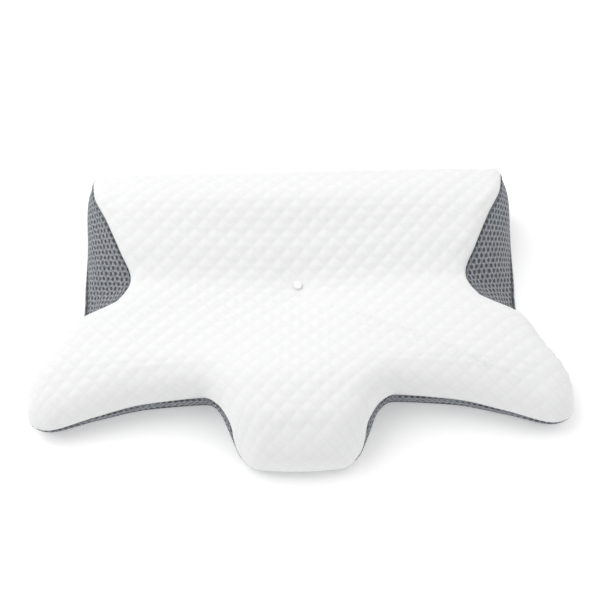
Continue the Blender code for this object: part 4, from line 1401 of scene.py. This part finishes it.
@dataclass
class SettledCover:
    """Blows the cover up a little over the foam, held at its seams, and keeps how far each place moved.

    Attributes:
        voxel: spacing of the simulated cloth.
        pressure: push of the foam from inside.
        slack: share by which the cloth is longer than the form.
        cap: the most that a place may move out.
        dip: the most that it may sink.
        frames: frames simulated.
        hold_reach: how far from a seam the cloth is held whole; it is free at twice that.
        floor_reach: the cloth is held up to this height, where the pillow rests on its bottom.
        evenings: sweeps that even out the result over neighbouring places.
    """

    voxel: float = 0.0065
    pressure: float = 4.0
    slack: float = 0.012
    cap: float = 0.0035
    dip: float = 0.0008
    frames: int = 20
    hold_reach: float = 0.006
    floor_reach: float = 0.012
    evenings: int = 3

    def moves(self, skin: Skin) -> Array:
        """Simulates the cover.

        Args:
            skin: the form's grid.

        Returns:
            A move for every grid point.
        """
        mesh = bpy.data.meshes.new("settling")
        mesh.from_pydata(skin.points.tolist(), [], skin.faces(skin.zone("foam_core"), True))
        obj = link_object("settling", mesh)
        remesh = obj.modifiers.new("even", "REMESH")
        remesh.mode = "VOXEL"
        remesh.voxel_size = self.voxel
        cloth_mesh = baked(obj)
        start = np.array([vertex.co[:] for vertex in cloth_mesh.vertices])
        triangles = [tuple(polygon.vertices) for polygon in cloth_mesh.polygons]
        obj = link_object("settling", cloth_mesh)
        held = obj.vertex_groups.new(name="held")
        seams = self._seams(skin)
        for number, point in enumerate(start):
            past = (seams.find(point)[2] - self.hold_reach) / self.hold_reach
            weight = 1.0 if point[2] < self.floor_reach else float(1 - smooth_step(past))
            if weight > 0.01:
                held.add([number], weight, "REPLACE")
        self._add_cloth(obj)
        end = self._run(obj)
        bpy.data.objects.remove(obj)
        move = end - start
        size = np.linalg.norm(move, axis=1, keepdims=True)
        move = move / (1 + size / self.cap)
        furthest = np.linalg.norm(move, axis=1).max()
        log.info("settled cover: %d points, moves up to %.1f mm", len(start), 1000 * furthest)
        return self._read(skin, start, triangles, move)

    def _seams(self, skin: Skin) -> KDTree:
        """Collects the places where the cover is sewn.

        Args:
            skin: the form's grid.

        Returns:
            A tree of those places, to measure distances from.
        """
        grid = skin.points[:-2].reshape(skin.row_count, skin.count, 3)
        sewn = [*grid[skin.top_seam], *grid[skin.bottom_seam]]
        tree = KDTree(len(sewn))
        for number, point in enumerate(sewn):
            tree.insert(point, number)
        tree.balance()
        return tree

    def _add_cloth(self, obj: bpy.types.Object) -> None:
        """Adds the cloth with its pressure and without gravity.

        Args:
            obj: the simulated cover.
        """
        cloth = obj.modifiers.new("cloth", "CLOTH")
        settings = cloth.settings
        settings.quality = 4
        settings.mass = 0.25
        settings.tension_stiffness = 12
        settings.compression_stiffness = 12
        settings.shear_stiffness = 6
        settings.bending_stiffness = 0.8
        settings.use_pressure = True
        settings.uniform_pressure_force = self.pressure
        settings.shrink_min = -self.slack
        settings.shrink_max = -self.slack
        settings.vertex_group_mass = "held"
        settings.pin_stiffness = 2.0
        settings.effector_weights.gravity = 0.0
        cloth.collision_settings.use_collision = False
        cloth.collision_settings.use_self_collision = False
        cloth.point_cache.frame_start = 1
        cloth.point_cache.frame_end = self.frames

    def _run(self, obj: bpy.types.Object) -> Array:
        """Steps the scene through the simulation.

        Args:
            obj: the simulated cover.

        Returns:
            Where the cloth's points end.
        """
        scene = bpy.context.scene
        for number in range(1, self.frames + 1):
            scene.frame_set(number)
        graph = bpy.context.evaluated_depsgraph_get()
        result = obj.evaluated_get(graph).to_mesh()
        end = np.array([vertex.co[:] for vertex in result.vertices])
        obj.evaluated_get(graph).to_mesh_clear()
        scene.frame_set(1)
        return end

    def _read(self, skin: Skin, start: Array, triangles: list[tuple[int, ...]], move: Array) -> Array:
        """Reads the move at each grid point from the nearest place on the simulated cloth.

        Args:
            skin: the form's grid.
            start: the cloth's points before the simulation.
            triangles: the cloth's faces.
            move: how far each of those points moved.

        Returns:
            A move along the normal for every grid point.
        """
        tree = BVHTree.FromPolygons([Vector(point) for point in start], triangles)
        found = np.zeros_like(skin.points)
        floor_end = (skin.bottom_edge + 2) * skin.count
        for number in range(floor_end, len(skin.points)):
            _, _, face, _ = tree.find_nearest(Vector(skin.points[number]))
            corners = list(triangles[face])
            away = np.linalg.norm(start[corners] - skin.points[number], axis=1)
            weight = 1 / (away + 1e-4)
            found[number] = (move[corners] * weight[:, None]).sum(axis=0) / weight.sum()
        along = (found * skin.normals).sum(axis=1)
        grid = along[:-2].reshape(skin.row_count, skin.count)
        for _ in range(self.evenings):
            beside = np.roll(grid, 1, 1) + np.roll(grid, -1, 1) + np.roll(grid, 1, 0) + np.roll(grid, -1, 0)
            grid = 0.5 * grid + 0.125 * beside
        along[:-2] = grid.ravel()
        return skin.normals * np.clip(along, -self.dip, self.cap)[:, None]


# ---------------------------------------------------------------------------------------------------------
# Sub-assemblies
# ---------------------------------------------------------------------------------------------------------


@dataclass
class Quilting:
    """Raises the top fabric into diamonds.

    Attributes:
        width: a diamond's size across the pillow.
        depth: its size along the pillow.
        puff: how far a diamond stands above its creases.
        sink: how far the creases lie below the form.
        sweep: how fast the rows bend forward along the wings.
        sweep_start: how far from the middle they start to bend.
        sweep_fade: length over which the bend begins, forward of the back ridge.
        tack: where the thread tack pulls the fabric flat.
        tack_flat: radius round the tack where the fabric is quite flat.
        tack_fade: how much further out the diamonds are whole.
        seam_fade: how far from a seam the diamonds are whole.
        uneven: share by which the diamonds differ in height.
    """

    width: float = 0.0215
    depth: float = 0.0200
    puff: float = 0.0016
    sink: float = 0.0006
    sweep: float = 0.40
    sweep_start: float = 0.12
    sweep_fade: float = 0.12
    tack: tuple[float, float] = (0.0, 0.029158)
    tack_flat: float = 0.005
    tack_fade: float = 0.020
    seam_fade: float = 0.010
    uneven: float = 0.15

    def places(self, skin: Skin) -> Array:
        """Sweeps the fabric's rows forward along the wings, as the knit is drawn there.

        Args:
            skin: the form's grid.

        Returns:
            Each grid point's place on the fabric.
        """
        x, y = skin.cloth[:, 0], skin.cloth[:, 1]
        past = np.maximum(np.abs(x) - self.sweep_start, 0.0)
        forward = smooth_step((skin.form.down(0.30) - y) / self.sweep_fade)
        return np.stack([x, y + self.sweep * past**2 * forward], axis=1)

    def relief(self, places: Array) -> Callable[[Array, Array], Array]:
        """How far each point of the fabric is raised.

        Args:
            places: the fabric's places for every grid point.

        Returns:
            A function of the points' numbers and their distances to the seam.
        """

        def raise_points(used: Array, seam_distance: Array) -> Array:
            """Raises the points, less and less towards the seams and the tack.

            Args:
                used: the points' numbers.
                seam_distance: their distances to the seam.

            Returns:
                The rise at each point.
            """
            across, along = places[used, 0] / self.width, places[used, 1] / self.depth
            first = np.abs(np.sin(math.pi * (across + along)))
            second = np.abs(np.sin(math.pi * (across - along)))
            ripple = np.sin(9.1 * across + 4.3 * along) * np.sin(2.7 * across - 6.1 * along)
            size = 1 - self.uneven + self.uneven * ripple
            rise = self.puff * (first * second) ** 1.5 * size - self.sink
            from_tack = np.hypot(places[used, 0] - self.tack[0], places[used, 1] - self.tack[1])
            clear = smooth_step((from_tack - self.tack_flat) / self.tack_fade)
            return rise * smooth_step(seam_distance / self.seam_fade) * clear

        return raise_points


@dataclass
class Cover:
    """The zipped cover: quilted top, mesh sides and mesh bottom, with the stitches along their seams.

    Attributes:
        skin: the form's grid.
        settled: how far the cloth has settled at each grid point.
        quilting: the diamonds of the top.
        thickness: how thick every panel is.
        side_length: flat length of a mesh side.
        bottom_flat: flat size of the mesh bottom, before it is cut to the outline.
        swell: height of the mesh sides' slow waves.
        waves: how many radians a metre two such waves turn, which are multiplied.
        settled_reach: how far from a seam the cloth has settled whole.
        stitch_spacing: from one stitch to the next.
        stitch_length: length of a stitch.
        stitch_radius: radius of its thread.
        stitch_offset: from the side's seams to their stitches.
        zip_stitch_offset: from the edge over the zipper to its stitches.
        thread_rise: how far a thread's middle stands above the cloth.
    """

    skin: Skin
    settled: Array
    quilting: Quilting = field(default_factory=Quilting)
    thickness: float = 0.003
    side_length: float = 0.75
    bottom_flat: tuple[float, float] = (0.62, 0.37)
    swell: float = 0.0005
    waves: tuple[float, float] = (74.0, 31.0)
    settled_reach: float = 0.012
    stitch_spacing: float = 0.0034
    stitch_length: float = 0.0025
    stitch_radius: float = 0.00028
    stitch_offset: float = 0.0036
    zip_stitch_offset: float = 0.0030
    thread_rise: float = 0.00012

    def build(self) -> None:
        self._top()
        for side in Side:
            self._gusset(side)
        self._bottom()
        self._stitches()

    def _top(self) -> None:
        """The quilted panel over the top, the back edge and the end of the tongue."""
        cells, places = self.skin.zone("top_panel"), self.quilting.places(self.skin)
        relief = self.quilting.relief(places)
        shell = Shell(self.skin, cells, 0.0, self.thickness, places, relief, settled=self.settled)
        piece = add_piece("quilted_top", shell.mesh("quilted_top"), KNIT, CLOTH_ANGLE)
        seat(piece, KNIT, "top_panel")

    def _gusset(self, side: Side) -> None:
        """Makes one mesh side, from the back corner round the wing to the tongue's corner.

        Args:
            side: which side.
        """
        node = f"side_gusset_{side.value}"
        cells, fabric = self.skin.zone(node), self.skin.wrap
        edge = {"tuck": 0.0020, "tuck_reach": 0.005, "settled": self.settled, "settled_reach": self.settled_reach}
        shell = Shell(self.skin, cells, 0.0, self.thickness, fabric, self._net, **edge)
        piece = seat(add_piece(f"mesh_side_{side.value}", shell.mesh(node), MESH, CLOTH_ANGLE), MESH, node)
        flat = (self.side_length, round(self._area(cells) / self.side_length, 4))
        log.info("%s: flat %.3f by %.3f m", node, *flat)

    def _net(self, used: Array, seam_distance: Array) -> Array:
        """Swells the mesh slowly between its seams.

        Args:
            used: the points' numbers.
            seam_distance: their distances to the seam.

        Returns:
            The rise at each point.
        """
        place, (quick, slow) = self.skin.wrap[used, 0], self.waves
        wave = np.sin(place * quick) * np.sin(place * slow + 1.3) * self.swell
        return wave * smooth_step(seam_distance / self.settled_reach)

    def _bottom(self) -> None:
        """The mesh panel under the pillow, up to the seam round its base."""
        cells = self.skin.zone("bottom_panel")
        shell = Shell(self.skin, cells, 0.0, self.thickness, self.skin.points[:, :2], tuck=0.0008)
        piece = add_piece("mesh_bottom", shell.mesh("bottom_panel"), MESH, CLOTH_ANGLE)
        seat(piece, MESH, "bottom_panel")
        area = round(min(self._area(cells), math.prod(self.bottom_flat)), 4)

    def _area(self, cells: Array) -> float:
        """Measures the form's surface over some cells.

        Args:
            cells: the cells.

        Returns:
            Their area in square metres.
        """
        total = 0.0
        for face in self.skin.faces(cells, True):
            corners = self.skin.points[list(face)]
            total += float(np.linalg.norm(np.cross(corners[2] - corners[0], corners[-1] - corners[1]))) / 2
        return total

    def _stitches(self) -> None:
        """Rows of stitches beside the seams, white on the quilted panel and grey on the mesh."""
        skin = self.skin
        zip_side, corner, tongue = skin.numbers[[ZIP_STATION, CORNER_STATION, TONGUE_STATION]].tolist()
        right = list(range(corner + 2, tongue - 1))
        left = [(skin.count - k) % skin.count for k in reversed(right)]
        back = [k % skin.count for k in range(-zip_side + 1, zip_side)]
        rows = (
            ("mesh_stitches", GREY_THREAD, skin.top_seam, -self.stitch_offset, (right, left)),
            ("base_stitches", GREY_THREAD, skin.bottom_seam, self.stitch_offset, (right, left)),
            ("zip_edge_stitches", WHITE_THREAD, skin.zip_top, self.zip_stitch_offset, (back,)),
        )
        tree = stitch_tree()
        sizes = {"Spacing": self.stitch_spacing, "Length": self.stitch_length, "Radius": self.stitch_radius}
        for name, finish, row, offset, runs in rows:
            lines = [self._beside(row, run, offset) for run in runs]
            seat(add_piece(name, along_line(tree, lines, finish, **sizes), finish), finish)

    def _beside(self, row: int, columns: Sequence[int], offset: float) -> Array:
        """Draws a line beside a row of the grid, just proud of the cloth.

        Args:
            row: the row's number.
            columns: the columns that the line passes.
            offset: how far up the wall from the row it runs, or down where it is negative.

        Returns:
            The line's points.
        """
        skin, step = self.skin, 1 if offset > 0 else -1
        reach = smooth_step(abs(offset) / self.settled_reach)
        line = []
        for column in columns:
            ladder = [(row + step * k) * skin.count + column for k in range(4)]
            arc = lengths_along(skin.points[ladder])
            place = np.array([np.interp(abs(offset), arc, skin.points[ladder, k]) for k in range(3)])
            lift = skin.normals[ladder[1]] * self.thread_rise
            line.append(place + lift + self.settled[ladder[1]] * reach)
        return np.array(line)


@dataclass
class Filling:
    """The foam core and the two halves of its liner.

    Attributes:
        skin: the form's grid.
        cover_thickness: how thick the cover is.
        liner_thickness: how thick the liner's layer is.
        slack: how much thinner the cloth is than its layer, on each face.
        lower_flat: flat size of the liner's lower half.
        upper_flat: flat size of its upper half.
    """

    skin: Skin
    cover_thickness: float = 0.003
    liner_thickness: float = 0.001
    slack: float = 0.0001
    lower_flat: tuple[float, float] = (0.66, 0.38)
    upper_flat: tuple[float, float] = (0.62, 0.34)

    def build(self) -> None:
        """Makes the liner's halves and the core."""
        inset = self.cover_thickness + GAP
        halves = (("liner_lower", self.lower_flat, self.skin.wrap), ("liner_upper", self.upper_flat, self.skin.cloth))
        for node, flat, fabric in halves:
            thickness = self.liner_thickness - 2 * self.slack
            shell = Shell(self.skin, self.skin.zone(node), inset + self.slack, thickness, fabric, tuck=0.0)
            piece = seat(add_piece(node + "_cloth", shell.mesh(node), JERSEY, CLOTH_ANGLE), JERSEY, node)
        self._core(inset + self.liner_thickness + GAP)

    def _core(self, inset: float) -> None:
        """Makes the moulded foam, a closed body inside the liner.

        Args:
            inset: how far its face lies inside the form.
        """
        skin = self.skin
        mesh = bpy.data.meshes.new("foam_core")
        points = skin.points - skin.normals * inset
        mesh.from_pydata(points.tolist(), [], skin.faces(skin.zone("foam_core"), True))
        piece = seat(add_piece("moulded_core", mesh, FOAM, CLOTH_ANGLE), FOAM, "foam_core")


@dataclass
class Zipper:
    """The nylon coil, its tapes, the tabs at its ends, the slider and the pull.

    Attributes:
        pitch: from one turn of the coil to the next.
        wire: radius of the coil's wire.
        tab_round: radius of the tabs' edges.
    """

    pitch: float = 0.0016
    wire: float = 0.00034
    tab_round: float = 0.0011

    def build(self) -> None:
        """Makes or dresses every piece of the zipper."""
        tree = coil_tree()
        for half in ("upper", "lower"):
            self._coil(tree, f"zipper_coil_{half}")
            self._dress(f"zipper_tape_{half}", TAPE, Body.PILLOW)
        for side in Side:
            self._end_tab(side)
        self._dress("zipper_slider", METAL, Body.SLIDER)
        self._dress("zipper_pull", METAL, Body.PULL)

    def _coil(self, tree: bpy.types.NodeTree, node: str) -> None:
        """Winds one row of the coil inside its CAD bar.

        Args:
            tree: the coil's tree.
            node: the bar.
        """
        low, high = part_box(node)
        middle = (low + high) / 2
        inset = self.pitch * 0.6
        line = np.array([[low.x + inset, middle.y, middle.z], [high.x - inset, middle.y, middle.z]])
        sizes = {"Pitch": self.pitch, "Wire": self.wire, "Width": high.z - low.z, "Height": high.y - low.y}
        seat(add_piece(node + "_turns", along_line(tree, [line], COIL, **sizes), COIL), COIL, node)

    def _end_tab(self, side: Side) -> None:
        """Makes the folded tab of mesh that closes one end of the opening.

        Args:
            side: which end.
        """
        node = f"zipper_end_{side.value}"
        mesh = pad_mesh(node, *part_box(node), self.tab_round)
        seat(add_piece(f"zip_tab_{side.value}", mesh, MESH, CLOTH_ANGLE), MESH, node)

    def _dress(self, node: str, finish: Finish, body: Body) -> None:
        """Gives a CAD node a fine finish.

        Args:
            node: the node.
            finish: the finish it wears.
            body: the body it already rides on.
        """
        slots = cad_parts[node].data.materials
        slots.clear()
        slots.append(finish.material())
        log.info("%s: CAD mesh in %s, on %s", node, finish.name, body.value)


@dataclass
class CareLabel:
    """A blank satin label that stands up from the seam over the zipper.

    Attributes:
        flat: its flat size.
        curl: how far its free edge stands away from the cover.
        ripple: height of the wave along that edge.
        rest: how far its sewn edge stands away.
        steps: facets along each of its sides.
        thickness: how thick it is.
    """

    flat: tuple[float, float] = (0.030, 0.030)
    curl: float = 0.0016
    ripple: float = 0.0004
    rest: float = 0.0001
    steps: int = 14
    thickness: float = 0.00045

    def build(self) -> None:
        """Makes the label."""
        low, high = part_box("care_label")
        shares = [k / self.steps for k in range(self.steps + 1)]
        points = []
        for t in shares:
            for s in shares:
                roll = self.curl * t * t * (0.6 + 0.4 * math.cos(math.pi * (s - 0.3)))
                bow = roll + self.ripple * math.sin(6 * s) * t
                points.append((between(low.x, high.x, s), low.y + self.rest + bow, between(low.z, high.z, t)))
        wide = self.steps + 1
        starts = [r * wide + c for r in range(self.steps) for c in range(self.steps)]
        faces = [(start, start + wide, start + wide + 1, start + 1) for start in starts]
        mesh = bpy.data.meshes.new("label")
        mesh.from_pydata(points, [], faces)
        obj = link_object("label", mesh)
        thick = obj.modifiers.new("thick", "SOLIDIFY")
        thick.thickness = self.thickness
        thick.offset = -1.0
        piece = seat(add_piece("satin_label", baked(obj), SATIN), SATIN, "care_label")


@dataclass
class ThreadTack:
    """The round thread tack at the bottom of the bowl: threads laid over each other in a flat dome.

    Attributes:
        threads: how many threads run over its edge.
        rings: facets from its edge to its middle.
        ridge: how far a thread stands out.
        crown: height of the dome, as a share of the CAD node's.
        edge: height of its upright edge, as a share of the dome's.
    """

    threads: int = 22
    rings: int = 12
    ridge: float = 0.00008
    crown: float = 0.8
    edge: float = 0.25

    def build(self) -> None:
        """Makes the tack's dome."""
        low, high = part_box("centre_tack")
        middle, radius = (low + high) / 2, (high.x - low.x) / 2
        top = between(low.z, high.z, self.crown)
        sides = self.threads * 6
        bends = [math.pi / 2 * k / self.rings for k in range(1, self.rings)]
        profile = [(1.0, 0.0), (1.0, self.edge)]
        profile += [(math.cos(bend), between(self.edge, 1.0, math.sin(bend))) for bend in bends]
        points, faces = [], []
        for share, level in profile:
            for k in range(sides):
                angle = 2 * math.pi * k / sides
                wave = self.ridge * math.cos(self.threads * angle) * min(1.0, 2 * share)
                reach = radius * share * (1 + 0.04 * math.sin(3 * angle)) + (wave if level > 0 else 0.0)
                height = between(low.z, top, level) + (wave if level > self.edge + 0.05 else 0.0)
                points.append((middle.x + reach * math.cos(angle), middle.y + reach * math.sin(angle), height))
        points += [(middle.x, middle.y, low.z), (middle.x, middle.y, top)]
        last = (len(profile) - 1) * sides
        for k in range(sides):
            j = (k + 1) % sides
            for ring in range(0, last, sides):
                faces.append((ring + k, ring + j, ring + sides + j, ring + sides + k))
            faces += [(j, k, len(points) - 2), (last + k, last + j, len(points) - 1)]
        mesh = bpy.data.meshes.new("tack")
        mesh.from_pydata(points, [], faces)
        seat(add_piece("thread_tack", mesh, WHITE_THREAD), WHITE_THREAD, "centre_tack")


# ---------------------------------------------------------------------------------------------------------
# Studio
# ---------------------------------------------------------------------------------------------------------


@dataclass
class Studio:
    """The pale floor, the soft lights and the camera.

    Attributes:
        azimuth: how far the camera is turned round the pillow, in degrees.
        elevation: how far it stands above the horizon, in degrees.
        distance: from the camera to the place it looks at.
        roll: how far it is turned about its own view, in degrees.
        lens: its focal length, in millimetres.
        target: the place it looks at.
        floor_half: half the width of the floor.
        floor_drop: how far the floor lies under the pillow.
        floor_white: the floor's colour.
        floor_glow: how much light the floor gives off.
        sky: strength of the light from all round.
        lamps: the name, place, size and power of each lamp.
    """

    azimuth: float = 1.9
    elevation: float = 60.2
    distance: float = 1.2
    roll: float = -2.7
    lens: float = 61.5
    target: tuple[float, float, float] = (0.0021, 0.015958, 0.0519)
    floor_half: float = 6.0
    floor_drop: float = 0.0005
    floor_white: tuple[float, ...] = (0.90, 0.90, 0.90, 1.0)
    floor_glow: float = 0.26
    sky: float = 0.67
    lamps: tuple[tuple[str, tuple[float, float, float], float, float], ...] = (
        ("key", (-1.15, 0.50, 1.90), 2.0, 25.0),
        ("fill", (1.5, 0.4, 1.7), 2.0, 8.0),
    )

    def build(self) -> None:
        """Sets up everything that isn't part of the pillow."""
        self._floor()
        self._lights()
        self._camera()
        scene = bpy.context.scene
        scene.view_settings.view_transform = "Standard"
        scene.view_settings.look = "None"

    def _floor(self) -> None:
        """A wide floor under the pillow."""
        half = self.floor_half
        mesh = bpy.data.meshes.new("floor")
        mesh.from_pydata([(-half, -half, 0), (half, -half, 0), (half, half, 0), (-half, half, 0)], [], [(0, 1, 2, 3)])
        sheet = NodeSheet("studio_floor")
        sheet.wire(Base_Color=self.floor_white, Roughness=0.95, Specular_IOR_Level=0.0)
        sheet.wire(Emission_Color=(1.0, 1.0, 1.0, 1.0), Emission_Strength=self.floor_glow)
        mesh.materials.append(sheet.made)
        floor = link_object("floor", mesh)
        floor.location.z = -self.floor_drop

    def _lights(self) -> None:
        """A large soft light over the back left, a weak one from the right, and an even sky."""
        for name, place, size, power in self.lamps:
            data = bpy.data.lights.new(name, "AREA")
            data.size = size
            data.energy = power
            lamp = link_object(name, data)
            lamp.location = place
            lamp.rotation_euler = (-Vector(place)).to_track_quat("-Z", "Y").to_euler()
        world = bpy.data.worlds.new("studio")
        world.use_nodes = True
        background = world.node_tree.nodes["Background"].inputs
        background["Color"].default_value = (1.0, 1.0, 1.0, 1.0)
        background["Strength"].default_value = self.sky
        bpy.context.scene.world = world

    def _camera(self) -> None:
        """The camera, turned to the pillow."""
        turn, lift = math.radians(self.azimuth), math.radians(self.elevation)
        away = Vector((math.sin(turn) * math.cos(lift), -math.cos(turn) * math.cos(lift), math.sin(lift)))
        data = bpy.data.cameras.new("camera")
        data.lens = self.lens
        data.sensor_width = 36.0
        camera = link_object("camera", data)
        look = (-away).to_track_quat("-Z", "Y").to_matrix() @ Matrix.Rotation(math.radians(self.roll), 3, "Z")
        place = Vector(self.target) + away * self.distance
        camera.matrix_world = Matrix.Translation(place) @ look.to_4x4()
        bpy.context.scene.camera = camera


def main() -> None:
    """Builds the pillow's pieces and the studio."""
    logging.basicConfig(level=logging.INFO, format="%(name)s: %(message)s")
    form = PillowForm()
    skin = Skin(form, FinePlan())
    log.info("form: %d columns, %d rows", skin.count, skin.row_count)
    settled = SettledCover().moves(skin)
    Cover(skin, settled).build()
    coarse = FinePlan(facet=0.007, rows=(10, 3, 5, 8, 6, 36))
    Filling(Skin(form, coarse)).build()
    Zipper().build()
    CareLabel().build()
    ThreadTack().build()
    Studio().build()


if __name__ == "__main__":
    main()
